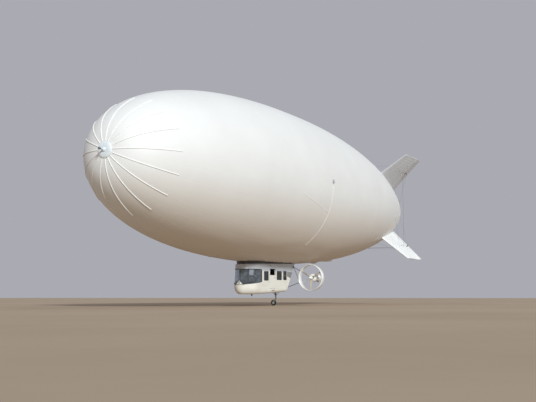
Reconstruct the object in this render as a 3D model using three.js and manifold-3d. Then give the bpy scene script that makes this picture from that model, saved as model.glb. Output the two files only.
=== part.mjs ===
// Twin-engined helium airship with an X tail and a glazed gondola, made at half size.
// Lengths are full-size millimetres, and the root group brings them to the model's size.
// +X is forward along the hull axis, +Y is port, +Z is up. The origin is the centre of buoyancy.
// A station is the distance behind the tip of the nose.
import * as THREE from 'three';
import { mergeVertices } from 'three/addons/utils/BufferGeometryUtils.js';
import Module from 'manifold-3d';

const wasm = await Module();
wasm.setup();

const modelScale = 0.5;
const seatGap = 0.6; // between pieces that rest on each other
const pinGap = 1.4; // round a hinge pin, an axle or a shaft
const moveGap = 14; // round a piece that moves

// Hull. Fullness is the pair of exponents that shape each end.
const hullLength = 54850;
const hullRadius = 6750;
const hullWidest = 22000;
const noseFullness = { along: 2.44, across: 0.42 };
const tailFullness = { along: 2.08, across: 0.79 };
const hullSkin = 20;
const noseX = 24000;
const hullRings = 10;
const hullSides = 40;

// Nose mooring.
const dishRadius = 580;
const dishFront = -100;
const battenCount = 16;
const battenEnd = 3050;
const battenWidth = 90;
const battenHeight = 60;
const battenSink = 150; // drawn this far into the hull, then cut to its skin
const spindleTip = -650;

// Tail. Distances out are measured from the hull axis, in the plane of the fin.
const finAngles = { port_upper: 45, port_lower: -45, starboard_upper: 135, starboard_lower: -135 };
const finRoot = { out: 3200, leading: 40130, thickness: 320 };
const finTip = { out: 7850, leading: 43330, thickness: 200 };
const finTipCap = 80;
const rudderHinge = 46750;
const rudderTrailing = 48120;
const rudderTipSlant = 110; // how much lower the tip is at the trailing edge
const rudderNose = { root: 95, tip: 65 };
const rudderLugs = [4600, 7200];
const rudderLug = { half: 25, eye: 34, pin: 14, arm: 190, armHalf: 20 };
const hornOut = 5900;
const stayStation = 46100;
const stayOut = 5950;
const stayRadius = 12;

// Gondola. Heights are below the hull axis.
const cabinNose = 17560;
const cabinNoseLength = 1540;
const cabinHalfWidth = 1050;
const cabinWall = 60;
const cabinRoof = { front: -6960, slope: 0.0325 };
const cabinSill = -8720;
const cabinFloor = -8960;
const floorThickness = 40;
const noseRake = { lean: 0.11, from: -8500 };
const belly = { lowest: -9460, from: 18700, to: 24000, rise: 240, power: 1.2 };
// The belly's rounded edge: how far in and how far up it reaches, at the nose and along the sides.
const chine = { noseIn: 560, noseUp: 820, sideIn: 230, sideUp: 250, from: 17700, to: 20400 };
const chineSteps = 5;
const noseSteps = 16;
const sideStations = [19700, 20400, 21500, 22700, 24000];
const wallTop = -8300; // the walls are upright above this height
const rearEdge = { station: 24150, z: -9080, lean: 0.649 };
const frameSplit = 19620;
const saddle = { inset: 130, rear: 25500 };
const aboveRoof = -6300;
const belowBelly = -9900;
const cabinTail = 26300;

// Engines. Each hangs beside the gondola on its shroud ring.
const engineOut = 2400;
const engineZ = -7950;
const ringFront = 26080;
const ringRear = 26620;
const ringInner = 1115;
const ringOuter = 1200;
const propStation = 26270;
const bladeTip = 1080;
const cowlFront = 26440;
const cowlRear = 28200;

// Landing gear. The wheel trails to starboard, as the moored ship leaves it.
const legStation = 24000;
const wheelTrail = 220;
const wheelZ = -10195;
const wheelRadius = 255;
const wheelWidth = 150;
const socketZ = -9790; // lower end of the leg, where the fork turns
const braceFoot = -9560;
const gearBraces = [[560, 0], [0, 520], [0, -520]];
const stemRadius = 32;
const axleRadius = 20;
const forkHalf = 115;
const forkPlate = 20;

const paint = (color, roughness, metalness = 0) => (
  new THREE.MeshStandardMaterial({ color, roughness, metalness })
);
const skinWhite = paint(0xeeeeea, 0.55);
const panelWhite = paint(0xf1efe6, 0.35);
const panelGrey = paint(0xc9cbcc, 0.4);
const darkSteel = paint(0x3a3d40, 0.45, 0.7);
const paleMetal = paint(0xb9c2c9, 0.4, 0.5);
const darkGlass = paint(0x2a3a48, 0.08);
const blackRubber = paint(0x1a1a1b, 0.85);
const seatCloth = paint(0x4a5260, 0.9);
const floorCloth = paint(0x55595c, 0.9);
const bladeGrey = paint(0xb8ac9c, 0.5);

const airship = new THREE.Group();
const toX = (station) => noseX - station;
const radians = THREE.MathUtils.degToRad;

// Shape helpers

function solid(geometry) {
  const bare = new THREE.BufferGeometry();
  bare.setAttribute('position', geometry.getAttribute('position').clone());
  bare.setIndex(geometry.index);
  const merged = mergeVertices(bare, 0.02);
  const corners = merged.index.array;
  const kept = [];
  for (let i = 0; i < corners.length; i += 3) {
    const [a, b, c] = [corners[i], corners[i + 1], corners[i + 2]];
    if (a !== b && b !== c && c !== a) kept.push(a, b, c);
  }
  const vertProperties = Float32Array.from(merged.getAttribute('position').array);
  return new wasm.Manifold(new wasm.Mesh({ numProp: 3, vertProperties, triVerts: Uint32Array.from(kept) }));
}

function surface(body) {
  const { vertProperties, triVerts } = body.getMesh();
  const geometry = new THREE.BufferGeometry();
  geometry.setAttribute('position', new THREE.BufferAttribute(vertProperties, 3));
  geometry.setIndex(new THREE.BufferAttribute(triVerts, 1));
  geometry.computeVertexNormals();
  return geometry;
}

function joined(bodies) {
  return bodies.reduce((whole, body) => whole.add(body));
}

function addPiece(name, body, material, parent = airship) {
  const piece = new THREE.Mesh(surface(body), material);
  piece.name = name;
  parent.add(piece);
  return piece;
}

// Outline of [x, radius] pairs from front to rear, turned about the X axis.
function turned(outline, sides) {
  const profile = outline.map(([x, radius]) => new THREE.Vector2(radius, x)).reverse();
  return new THREE.LatheGeometry(profile, sides).rotateZ(-Math.PI / 2);
}

// The same kind of outline with each of its lines moved outwards by the distance.
function grown(outline, distance) {
  const count = outline.length;
  return outline.map(([x, radius], i) => {
    const [before, after] = [outline[(i + count - 1) % count], outline[(i + 1) % count]];
    const first = new THREE.Vector2(radius - before[1], before[0] - x).normalize();
    const second = new THREE.Vector2(after[1] - radius, x - after[0]).normalize();
    const mitre = first.clone().add(second).normalize();
    mitre.multiplyScalar(distance / mitre.dot(first));
    return [x + mitre.x, radius + mitre.y];
  });
}

function outlineShape(points) {
  return new THREE.Shape(points.map(([a, b]) => new THREE.Vector2(a, b)));
}

function roundedShape(points, radius) {
  const corners = points.map(([a, b]) => new THREE.Vector2(a, b));
  const shape = new THREE.Shape();
  corners.forEach((corner, i) => {
    const before = corners[(i + corners.length - 1) % corners.length];
    const after = corners[(i + 1) % corners.length];
    const start = corner.clone().add(before.clone().sub(corner).setLength(radius));
    const end = corner.clone().add(after.clone().sub(corner).setLength(radius));
    if (i === 0) shape.moveTo(start.x, start.y);
    else shape.lineTo(start.x, start.y);
    shape.quadraticCurveTo(corner.x, corner.y, end.x, end.y);
  });
  shape.closePath();
  return shape;
}

// Plan shape (x, y) raised between two heights.
function raised(shape, low, high, curveSegments = 4) {
  const depth = high - low;
  return new THREE.ExtrudeGeometry(shape, { depth, bevelEnabled: false, curveSegments }).translate(0, 0, low);
}

// Side shape (x, z) carried across between two values of y.
function across(shape, low, high, curveSegments = 3) {
  const depth = high - low;
  const geometry = new THREE.ExtrudeGeometry(shape, { depth, bevelEnabled: false, curveSegments });
  return geometry.rotateX(Math.PI / 2).translate(0, high, 0);
}

// Box between two corners given as [x, y, z].
function block(low, high) {
  const size = high.map((value, i) => value - low[i]);
  const middle = high.map((value, i) => (value + low[i]) / 2);
  return new THREE.BoxGeometry(...size).translate(...middle);
}

// Round bar between two points given as [x, y, z].
function rod(start, end, radius, sides = 8) {
  const from = new THREE.Vector3(...start);
  const to = new THREE.Vector3(...end);
  const way = to.clone().sub(from);
  const turn = new THREE.Quaternion().setFromUnitVectors(new THREE.Vector3(0, 1, 0), way.clone().normalize());
  const geometry = new THREE.CylinderGeometry(radius, radius, way.length(), sides).applyQuaternion(turn);
  return geometry.translate(...from.add(to).multiplyScalar(0.5).toArray());
}

// Skin through convex rings that all have the same number of points.
function loft(rings) {
  const count = rings[0].length;
  const last = (rings.length - 1) * count;
  const index = [];
  for (let r = 0; r + 1 < rings.length; r += 1) {
    for (let i = 0; i < count; i += 1) {
      const j = (i + 1) % count;
      const low = r * count;
      const high = low + count;
      index.push(low + i, low + j, high + j, low + i, high + j, high + i);
    }
  }
  for (let i = 1; i + 1 < count; i += 1) index.push(0, i + 1, i, last, last + i, last + i + 1);
  const geometry = new THREE.BufferGeometry();
  geometry.setAttribute('position', new THREE.Float32BufferAttribute(rings.flat(2), 3));
  geometry.setIndex(index);
  return geometry;
}

// Hull

function noseStation(radius) {
  const fall = 1 - (radius / hullRadius) ** (1 / noseFullness.across);
  return hullWidest * (1 - Math.max(fall, 0) ** (1 / noseFullness.along));
}

function tailStation(radius) {
  const fall = 1 - (radius / hullRadius) ** (1 / tailFullness.across);
  return hullWidest + (hullLength - hullWidest) * Math.max(fall, 0) ** (1 / tailFullness.along);
}

function hullRadiusAt(station) {
  const ahead = station < hullWidest;
  const reach = ahead ? hullWidest : hullLength - hullWidest;
  const { along: power, across: root } = ahead ? noseFullness : tailFullness;
  return hullRadius * (1 - (Math.abs(station - hullWidest) / reach) ** power) ** root;
}

// Hull outline as [x, radius], moved outwards by the offset.
function hullOutline(offset) {
  const skin = [];
  for (let i = 0; i <= hullRings; i += 1) {
    const radius = hullRadius * Math.sin((Math.PI / 2) * (i / hullRings));
    skin.push([toX(noseStation(radius)), radius]);
  }
  for (let i = hullRings - 1; i >= 0; i -= 1) {
    const radius = hullRadius * Math.sin((Math.PI / 2) * (i / hullRings));
    skin.push([toX(tailStation(radius)), radius]);
  }
  const [ahead, behind] = [skin[1], skin.at(-2)].map(([x, radius]) => [x, -radius]);
  return grown([ahead, ...skin, behind], offset).slice(1, -1);
}

const hullBody = (offset) => solid(turned(hullOutline(offset), hullSides));
const hullSeat = hullBody(seatGap);

// Ballonet air valves stand in round openings in the belly.
const airValves = [
  { name: 'air_valve_front', station: 13200 },
  { name: 'air_valve_rear', station: 31800 },
];
const airValve = { radius: 300, flange: 380, below: 45, above: 60, cage: 240, cageBelow: 110 };
const gasValve = { station: 21700, base: 190, height: 40, cover: 120, coverHeight: 90 };

function buildEnvelope() {
  let envelope = hullBody(0).subtract(hullBody(-hullSkin));
  for (const { station } of airValves) {
    const x = toX(station);
    const well = rod([x, 0, -hullRadius - 100], [x, 0, -hullRadius / 2], airValve.radius, 24);
    envelope = envelope.subtract(solid(well));
  }
  addPiece('envelope', envelope, skinWhite);
}

function buildAirValves() {
  const { radius, flange, below, above, cage, cageBelow } = airValve;
  for (const { name, station } of airValves) {
    const x = toX(station);
    const skinZ = -hullRadiusAt(station);
    const disc = (reach, low, high, sides) => (
      solid(rod([x, 0, skinZ - low], [x, 0, skinZ + high], reach, sides))
    );
    const rim = disc(flange, below, above, 24).subtract(hullSeat);
    const plug = disc(radius - 4, below - 5, above - 5, 24);
    addPiece(name, joined([rim, plug, disc(cage, cageBelow, -30, 16)]), panelGrey);
  }
}

// A gas valve sits on each flank, near the widest station.
function buildGasValves() {
  for (const [name, side] of [['gas_valve_port', 1], ['gas_valve_starboard', -1]]) {
    const x = toX(gasValve.station);
    const outTo = (height) => [x, side * (hullRadius + height), 0];
    const base = solid(rod(outTo(-60), outTo(gasValve.height), gasValve.base, 16));
    const cover = solid(rod(outTo(gasValve.height - 10), outTo(gasValve.coverHeight), gasValve.cover, 16));
    addPiece(name, base.add(cover).subtract(hullSeat), darkSteel);
  }
}

// Nose

function buildNose() {
  const dish = [
    [toX(dishFront), 0],
    [toX(dishFront), 300],
    [toX(dishFront + 45), dishRadius - 40],
    [toX(130), dishRadius],
    [toX(400), 0],
  ];
  addPiece('nose_dish', solid(turned(dish, 32)).subtract(hullSeat), paleMetal);

  const spindleBack = dishFront - seatGap;
  const spindle = [
    [toX(spindleTip), 0],
    [toX(spindleTip), 70],
    [toX(spindleTip + 90), 95],
    [toX(spindleTip + 150), 55],
    [toX(spindleBack - 120), 65],
    [toX(spindleBack - 45), 170],
    [toX(spindleBack), 170],
    [toX(spindleBack), 0],
  ];
  addPiece('mooring_spindle', solid(turned(spindle, 16)), darkSteel);

  const ringOut = dishRadius + 150;
  const ringIn = dishRadius + 6;
  const ringAhead = toX(noseStation(ringOut) - battenHeight);
  const ringBehind = toX(420);
  const ringBand = [
    [ringAhead, ringIn],
    [ringAhead, ringOut],
    [ringBehind, ringOut],
    [ringBehind, ringIn],
    [ringAhead, ringIn],
  ];
  const battenSteps = 6;
  const outer = [];
  const inner = [];
  for (let i = 0; i <= battenSteps; i += 1) {
    const radius = THREE.MathUtils.lerp(ringOut - 60, hullRadiusAt(battenEnd), i / battenSteps);
    const station = noseStation(radius);
    const slope = new THREE.Vector2(noseStation(radius + 5) - noseStation(radius - 5), 10).normalize();
    const height = i === battenSteps ? battenHeight * 0.4 : battenHeight;
    outer.push([toX(station - slope.y * height), radius + slope.x * height]);
    inner.unshift([toX(station + slope.y * battenSink), radius - slope.x * battenSink]);
  }
  const rib = outlineShape([...outer, ...inner]);
  let battens = solid(turned(ringBand, hullSides));
  for (let i = 0; i < battenCount; i += 1) {
    const turn = (i * 2 * Math.PI) / battenCount;
    battens = battens.add(solid(across(rib, -battenWidth / 2, battenWidth / 2).rotateX(turn)));
  }
  addPiece('nose_battens', battens.subtract(hullSeat), skinWhite);
}

// Tail. Each fin is built in a plane with x along the hull, y out from the axis and z through it.

const finProfile = [
  { back: 0, half: 0.06 },
  { back: 0.03, half: 0.5 },
  { back: 0.12, half: 0.85 },
  { back: 0.35, half: 1 },
  { back: 0.7, half: 0.85 },
  { back: 1, half: 0.58 },
];
const noseRadiusAt = (out) => (
  THREE.MathUtils.mapLinear(out, finRoot.out, finTip.out, rudderNose.root, rudderNose.tip)
);

function finRing(out, leading, thickness, grow) {
  const trailing = rudderHinge - noseRadiusAt(out) - moveGap - 2;
  const side = (sign) => finProfile.map(({ back, half }) => {
    const station = THREE.MathUtils.lerp(leading, trailing, back);
    return [toX(station), out, sign * ((half * thickness) / 2 + grow)];
  });
  return [...side(-1), ...side(1).reverse()];
}

function finLoft(grow) {
  return loft([
    finRing(finRoot.out, finRoot.leading, finRoot.thickness, grow),
    finRing(finTip.out, finTip.leading, finTip.thickness, grow),
    finRing(finTip.out + finTipCap, finTip.leading + 190, finTip.thickness * 0.45, grow),
  ]);
}

function rudderRing(out, spread, from, slant = 0) {
  const nose = noseRadiusAt(out) * spread;
  const ring = [];
  for (let i = 0; i <= 6; i += 1) {
    const turn = Math.PI / 2 + (i * Math.PI) / 6;
    ring.push([toX(rudderHinge) - nose * Math.cos(turn), out, nose * Math.sin(turn)]);
  }
  ring.push([toX(from), out - slant, -8], [toX(from), out - slant, 8]);
  return ring;
}

function lugAt(out) {
  const { half, eye, pin, arm, armHalf } = rudderLug;
  const x = toX(rudderHinge);
  const barrel = solid(rod([x, out - half, 0], [x, out + half, 0], eye, 12));
  const root = solid(block([x, out - half, -armHalf], [x + arm, out + half, armHalf]));
  const hole = solid(rod([x, out - half - 5, 0], [x, out + half + 5, 0], pin + pinGap, 12));
  return barrel.add(root).subtract(hole);
}

function buildTail() {
  const hullRoom = hullBody(90);
  let fixed = solid(finLoft(0)).subtract(hullSeat);
  let rudder = solid(loft([
    rudderRing(finRoot.out - 300, 1, rudderTrailing),
    rudderRing(finTip.out, 1, rudderTrailing, rudderTipSlant),
    rudderRing(finTip.out + finTipCap, 0.45, rudderTrailing - 60, rudderTipSlant),
  ])).subtract(hullRoom);
  for (const out of rudderLugs) {
    const x = toX(rudderHinge);
    fixed = fixed.add(lugAt(out));
    const slot = rudderLug.half + moveGap + 6;
    rudder = rudder.subtract(solid(block([x - 50, out - slot, -200], [x + 200, out + slot, 200])));
    rudder = rudder.add(solid(rod([x, out - slot - 15, 0], [x, out + slot + 15, 0], rudderLug.pin, 12)));
  }
  const horn = outlineShape([
    [toX(rudderHinge + 60), -40],
    [toX(rudderHinge + 60), 40],
    [toX(rudderHinge + 150), 340],
    [toX(rudderHinge + 230), 340],
    [toX(rudderHinge + 430), 40],
    [toX(rudderHinge + 430), -40],
    [toX(rudderHinge + 230), -340],
    [toX(rudderHinge + 150), -340],
  ]);
  rudder = rudder.add(solid(across(horn, hornOut - 14, hornOut + 14)));
  for (const [place, angle] of Object.entries(finAngles)) {
    const plane = new THREE.Group();
    plane.rotation.x = radians(angle);
    airship.add(plane);
    addPiece(`fin_${place}`, fixed, skinWhite, plane);
    addPiece(`rudder_${place}`, rudder, skinWhite, plane);
  }
}

// A stay ties each fin to the next, square round the hull.
function buildStays() {
  const stays = { top: 90, port: 0, bottom: -90, starboard: 180 };
  for (const [place, angle] of Object.entries(stays)) {
    const reach = stayOut * Math.SQRT1_2;
    const x = toX(stayStation);
    let stay = solid(rod([x, reach, -reach], [x, reach, reach], stayRadius));
    for (const tilt of [45, -45]) stay = stay.subtract(solid(finLoft(seatGap).rotateX(radians(tilt))));
    addPiece(`fin_stay_${place}`, stay, darkSteel).rotation.x = radians(angle);
  }
}

// Gondola

const rearStation = (z, inset) => (
  rearEdge.station + (z - rearEdge.z) * rearEdge.lean - inset * Math.hypot(1, rearEdge.lean)
);
const roofZ = (station) => cabinRoof.front + cabinRoof.slope * (station - cabinNose);

function bellyZ(station) {
  const along = Math.max(station - belly.from, 0) / (belly.to - belly.from);
  return belly.lowest + belly.rise * along ** belly.power;
}

// Half of the belly's rounded edge in section, as a quarter of an ellipse.
function chineAt(station, inset) {
  const share = THREE.MathUtils.smoothstep(station, chine.from, chine.to);
  return {
    reach: THREE.MathUtils.lerp(chine.noseIn, chine.sideIn, share) - inset,
    height: THREE.MathUtils.lerp(chine.noseUp, chine.sideUp, share) - inset,
  };
}

// The plan from the starboard side round the nose to port. Each point has its outward direction.
function cabinPlan(inset) {
  const half = cabinHalfWidth - inset;
  const length = cabinNoseLength - inset;
  const middle = cabinNose + cabinNoseLength;
  const nose = [];
  for (let i = 0; i <= noseSteps; i += 1) {
    const turn = ((i / noseSteps) - 0.5) * Math.PI;
    const outward = new THREE.Vector2(-Math.cos(turn) / length, Math.sin(turn) / half).normalize();
    nose.push({ station: middle - length * Math.cos(turn), out: half * Math.sin(turn), outward });
  }
  const wall = (side) => [...sideStations, cabinTail].map((station) => (
    { station, out: side * half, outward: new THREE.Vector2(0, side) }
  ));
  return [...wall(-1).reverse(), ...nose, ...wall(1)];
}

// The gondola's skin carried past its rear end, moved inwards by the inset. It is lofted upwards:
// a keel line, the rounded edge of the belly, then upright walls. The whole is raked at the nose.
function cabinTube(inset) {
  const plan = cabinPlan(inset);
  const raked = (station, out, z) => [toX(station) - noseRake.lean * (z - noseRake.from), out, z];
  const chineRing = (turn, narrow) => plan.map(({ station, out, outward }) => {
    const { reach, height } = chineAt(station, inset);
    const inwards = reach * (1 - Math.sin(turn));
    const back = station - outward.x * inwards;
    const aside = (out - outward.y * inwards) * narrow;
    return raked(back, aside, bellyZ(back) + inset + height * (1 - Math.cos(turn)));
  });
  const rings = [chineRing(0, 0.005)];
  for (let i = 0; i <= chineSteps; i += 1) rings.push(chineRing((i * Math.PI) / 2 / chineSteps, 1));
  for (const z of [wallTop, aboveRoof + 100]) {
    rings.push(plan.map(({ station, out }) => raked(station, out, z)));
  }
  return solid(loft(rings));
}

// The gondola's outer shape, moved inwards by the inset.
function cabinBody(inset) {
  const ahead = toX(cabinNose) + 400;
  const side = outlineShape([
    [ahead, aboveRoof],
    [toX(rearStation(aboveRoof, inset)), aboveRoof],
    [toX(rearStation(belowBelly, inset)), belowBelly],
    [ahead, belowBelly],
  ]);
  return cabinTube(inset).intersect(solid(across(side, -cabinHalfWidth - 100, cabinHalfWidth + 100)));
}

const windscreen = { rear: 19500, top: -7370, bottomRear: -8420, bottomFront: -8665, post: 45 };
const windows = [
  { name: 'front', from: 19940, to: 20700, bottom: -8280, top: -7520 },
  { name: 'middle', from: 22240, to: 23130, bottom: -8190, top: -7460 },
  { name: 'rear', from: 23460, to: 24050, bottom: -8180, top: -7430 },
];
const door = { from: 20900, to: 22040, bottom: -8940, top: -7130 };
const doorWindow = { from: 21010, to: 21920, bottom: -7800, top: -7290 };

const sideLow = (side) => (side > 0 ? 700 : -1300);
const sideHigh = (side) => (side > 0 ? 1300 : -700);

// Opening with rounded corners through one side wall, made smaller by the inset.
function wallCutter({ from, to, bottom, top }, inset, side, radius) {
  const points = [
    [toX(from + inset), bottom + inset],
    [toX(from + inset), top - inset],
    [toX(to - inset), top - inset],
    [toX(to - inset), bottom + inset],
  ];
  return solid(across(roundedShape(points, radius), sideLow(side), sideHigh(side)));
}

function windscreenCutter(inset, side) {
  const { rear, top, bottomRear, bottomFront, post } = windscreen;
  const points = [
    [toX(cabinNose - 100), bottomFront + inset],
    [toX(cabinNose - 100), top - inset],
    [toX(rear - inset), top - inset],
    [toX(rear - inset), bottomRear + inset],
  ];
  const low = side > 0 ? post + inset : -1300;
  const high = side > 0 ? 1300 : -post - inset;
  return solid(across(roundedShape(points, 70), low, high));
}

const sides = [
  { place: 'port', side: 1 },
  { place: 'starboard', side: -1 },
];

// Door hinge: two lugs and a pin on the wall, and a knuckle on the door.
const hingeHeights = [-7420, -8420];
const hinge = { station: door.from - 4, out: cabinHalfWidth + 24, pin: 9, barrel: 20, half: 45, lug: 25 };

function hingePin(z, side) {
  const x = toX(hinge.station);
  const y = side * hinge.out;
  const low = z - hinge.half - hinge.lug;
  const high = z + hinge.half + hinge.lug;
  const wallY = side * (cabinHalfWidth - 10);
  const bar = solid(rod([x, y, low], [x, y, high], hinge.pin));
  const plates = [low, high - hinge.lug].map((foot) => {
    const corners = [Math.min(y, wallY), Math.max(y, wallY)];
    const arm = solid(block([x, corners[0], foot], [x + 70, corners[1], foot + hinge.lug]));
    return arm.add(solid(rod([x, y, foot], [x, y, foot + hinge.lug], hinge.barrel)));
  });
  return joined([bar, ...plates]);
}

function hingeKnuckle(z, side) {
  const x = toX(hinge.station);
  const y = side * hinge.out;
  const wallY = side * (cabinHalfWidth - 10);
  const low = z - hinge.half + seatGap;
  const high = z + hinge.half - seatGap;
  const barrel = solid(rod([x, y, low], [x, y, high], hinge.barrel));
  const leaf = solid(block([x - 90, Math.min(y, wallY), low], [x, Math.max(y, wallY), high]));
  const hole = solid(rod([x, y, low - 5], [x, y, high + 5], hinge.pin + pinGap));
  return barrel.add(leaf).subtract(hole);
}

// Everything between two lines that follow the roof, given as heights above it.
function roofBand(low, high) {
  const [front, rear] = [cabinNose - 200, cabinTail];
  const shape = outlineShape([
    [toX(front), roofZ(front) + low],
    [toX(front), roofZ(front) + high],
    [toX(rear), roofZ(rear) + high],
    [toX(rear), roofZ(rear) + low],
  ]);
  return solid(across(shape, -cabinHalfWidth - 200, cabinHalfWidth + 200));
}

function buildGondola() {
  const outer = cabinBody(0);
  const shell = outer.subtract(cabinBody(cabinWall));
  const [front, rear, split] = [toX(cabinNose - 200), toX(cabinTail), toX(frameSplit)];
  const wide = cabinHalfWidth + 100;
  const half = seatGap / 2;
  const aboveSill = solid(block([rear, -wide, cabinSill + half], [front, wide, aboveRoof]));
  const belowSill = solid(block([rear, -wide, belowBelly], [front, wide, cabinSill - half]));
  const upper = shell.intersect(aboveSill).intersect(roofBand(-3000, -cabinWall - seatGap));
  const walls = upper.subtract(cabinTube(cabinWall));

  addPiece('cabin_roof', outer.intersect(roofBand(-cabinWall, 0)).subtract(hullSeat), panelGrey);

  let tub = shell.intersect(belowSill);
  let frame = upper.intersect(solid(block([split + half, -wide, belowBelly], [front, wide, aboveRoof])));
  for (const { place, side } of sides) {
    const doorway = wallCutter(door, -moveGap, side, 100);
    tub = tub.subtract(doorway);
    frame = frame.subtract(windscreenCutter(0, side));

    const near = side > 0 ? 0 : -wide;
    const far = side > 0 ? wide : 0;
    let wall = walls.intersect(solid(block([rear, near, belowBelly], [split - half, far, aboveRoof])));
    wall = wall.subtract(doorway);
    for (const window of windows) wall = wall.subtract(wallCutter(window, 0, side, 70));
    for (const z of hingeHeights) wall = wall.add(hingePin(z, side));
    addPiece(`cabin_side_${place}`, wall, panelWhite);

    let leaf = shell.intersect(wallCutter(door, 0, side, 90));
    leaf = leaf.subtract(wallCutter(doorWindow, 0, side, 60));
    for (const z of hingeHeights) leaf = leaf.add(hingeKnuckle(z, side));
    addPiece(`cabin_door_${place}`, leaf, panelWhite);
  }
  addPiece('cabin_tub', tub, panelWhite);
  addPiece('windscreen_frame', frame, panelGrey);

  const behind = solid(block([rear, -wide, belowBelly], [split, wide, aboveRoof]));
  const bulkhead = upper.intersect(cabinTube(cabinWall + seatGap)).intersect(behind);
  addPiece('cabin_bulkhead', bulkhead, panelGrey);

  const saddleRoom = block([toX(saddle.rear), -wide, belowBelly], [front, wide, aboveRoof]);
  const saddleBody = cabinTube(saddle.inset).intersect(solid(saddleRoom)).intersect(roofBand(seatGap, 1000));
  addPiece('suspension_saddle', saddleBody.subtract(hullSeat), darkSteel);
}

function buildGlass() {
  const pane = cabinBody(14).subtract(cabinBody(34));
  for (const { place, side } of sides) {
    addPiece(`windscreen_${place}`, pane.intersect(windscreenCutter(seatGap, side)), darkGlass);
    for (const window of windows) {
      const glass = pane.intersect(wallCutter(window, seatGap, side, 70));
      addPiece(`window_${window.name}_${place}`, glass, darkGlass);
    }
  }
}

// Seats are L-shaped cushions. Station is the front of the cushion, legs are their places across.
const seats = [
  { name: 'pilot_seat_port', station: 19150, y: 480, width: 500, legs: [350, 640] },
  { name: 'pilot_seat_starboard', station: 19150, y: -480, width: 500, legs: [-350, -640] },
  { name: 'bench_middle', station: 22330, y: 0, width: 1860, legs: [350, -350, 820, -820] },
  { name: 'bench_rear', station: 23330, y: 0, width: 1700, legs: [350, -350, 760, -760] },
];
const seatHeight = -8480;
const seatDepth = 470;
const cushionThickness = 120;
const backHeight = 620;
const railOut = 350;
const legHalf = 20;

function buildSeats(room) {
  const foot = cabinFloor + seatGap;
  const base = seatHeight - cushionThickness;
  const top = base - seatGap;
  const rails = [railOut, -railOut].map((y) => (
    block([toX(24200), y - legHalf, foot], [toX(19150), y + legHalf, foot + 25])
  ));
  const frame = [...rails];
  for (const { name, station, y, width, legs } of seats) {
    const profile = roundedShape([
      [toX(station), seatHeight],
      [toX(station), base],
      [toX(station + seatDepth + 130), base],
      [toX(station + seatDepth + 210), seatHeight + backHeight],
      [toX(station + seatDepth + 90), seatHeight + backHeight],
      [toX(station + seatDepth), seatHeight],
    ], 40);
    addPiece(name, solid(across(profile, y - width / 2, y + width / 2, 2)), seatCloth);

    const back = toX(station + seatDepth + 100);
    const frontEdge = toX(station + 60);
    const reach = width / 2 - 50;
    frame.push(block([back, y - reach, top - 30], [frontEdge, y + reach, top]));
    for (const leg of legs) {
      frame.push(block([back, leg - legHalf, foot], [frontEdge, leg + legHalf, top - 10]));
    }
  }
  addPiece('seat_frame', joined(frame.map(solid)).intersect(room), darkSteel);
}

function buildCabinFittings() {
  const room = cabinBody(cabinWall + seatGap);
  const foot = cabinFloor + seatGap;
  const slab = block(
    [toX(cabinTail), -cabinHalfWidth, cabinFloor - floorThickness],
    [toX(cabinNose), cabinHalfWidth, cabinFloor],
  );
  addPiece('cabin_floor', room.intersect(solid(slab)), floorCloth);
  buildSeats(room);

  const panel = outlineShape([
    [toX(18560), foot],
    [toX(18300), -8600],
    [toX(18300), -8400],
    [toX(18520), -8330],
    [toX(18640), -8500],
    [toX(18640), foot],
  ]);
  const console = solid(across(panel, -760, 760));
  addPiece('instrument_panel', console.intersect(room), floorCloth);

  const lightX = toX(19670);
  const skinZ = bellyZ(19670);
  const lamp = solid(rod([lightX, 0, skinZ - 150], [lightX, 0, skinZ + 40], 60, 12));
  addPiece('belly_light', lamp.subtract(cabinBody(-seatGap)), darkSteel);
}

// Engines. Pieces are built round the propeller axis, then moved to their side.

const ringSection = [
  { back: 0.12, out: 0.1 },
  { back: 0, out: 0.5 },
  { back: 0.12, out: 0.92 },
  { back: 0.35, out: 1 },
  { back: 1, out: 0.42 },
  { back: 1, out: 0.18 },
  { back: 0.5, out: 0 },
];

function ringBody(grow) {
  const ring = ringSection.map(({ back, out }) => [
    toX(THREE.MathUtils.lerp(ringFront, ringRear, back)),
    THREE.MathUtils.lerp(ringInner, ringOuter, out),
  ]);
  const section = grown(ring, grow);
  return solid(turned([...section, section[0]], 32));
}

// Vanes carry the engine inside its ring, in line with the struts that come from the gondola.
const vaneAngles = [30, 150, 200, 340];
const cowlSection = [
  { station: cowlFront, radius: 215 },
  { station: cowlFront + 40, radius: 270 },
  { station: cowlFront + 180, radius: 318 },
  { station: cowlFront + 700, radius: 330 },
  { station: cowlRear - 420, radius: 300 },
  { station: cowlRear - 120, radius: 205 },
  { station: cowlRear, radius: 130 },
];
const cowlSkin = 24;
const cowlSides = 16;
const bandFront = cowlFront + 190;
const bandRear = cowlFront + 300;

function cowlRadiusAt(station) {
  const after = cowlSection.findIndex((row) => row.station > station);
  const [a, b] = [cowlSection[after - 1], cowlSection[after]];
  return THREE.MathUtils.mapLinear(station, a.station, b.station, a.radius, b.radius);
}

function cowlOutline(offset) {
  return cowlSection.map(({ station, radius }) => [toX(station), radius + offset]);
}

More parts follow.
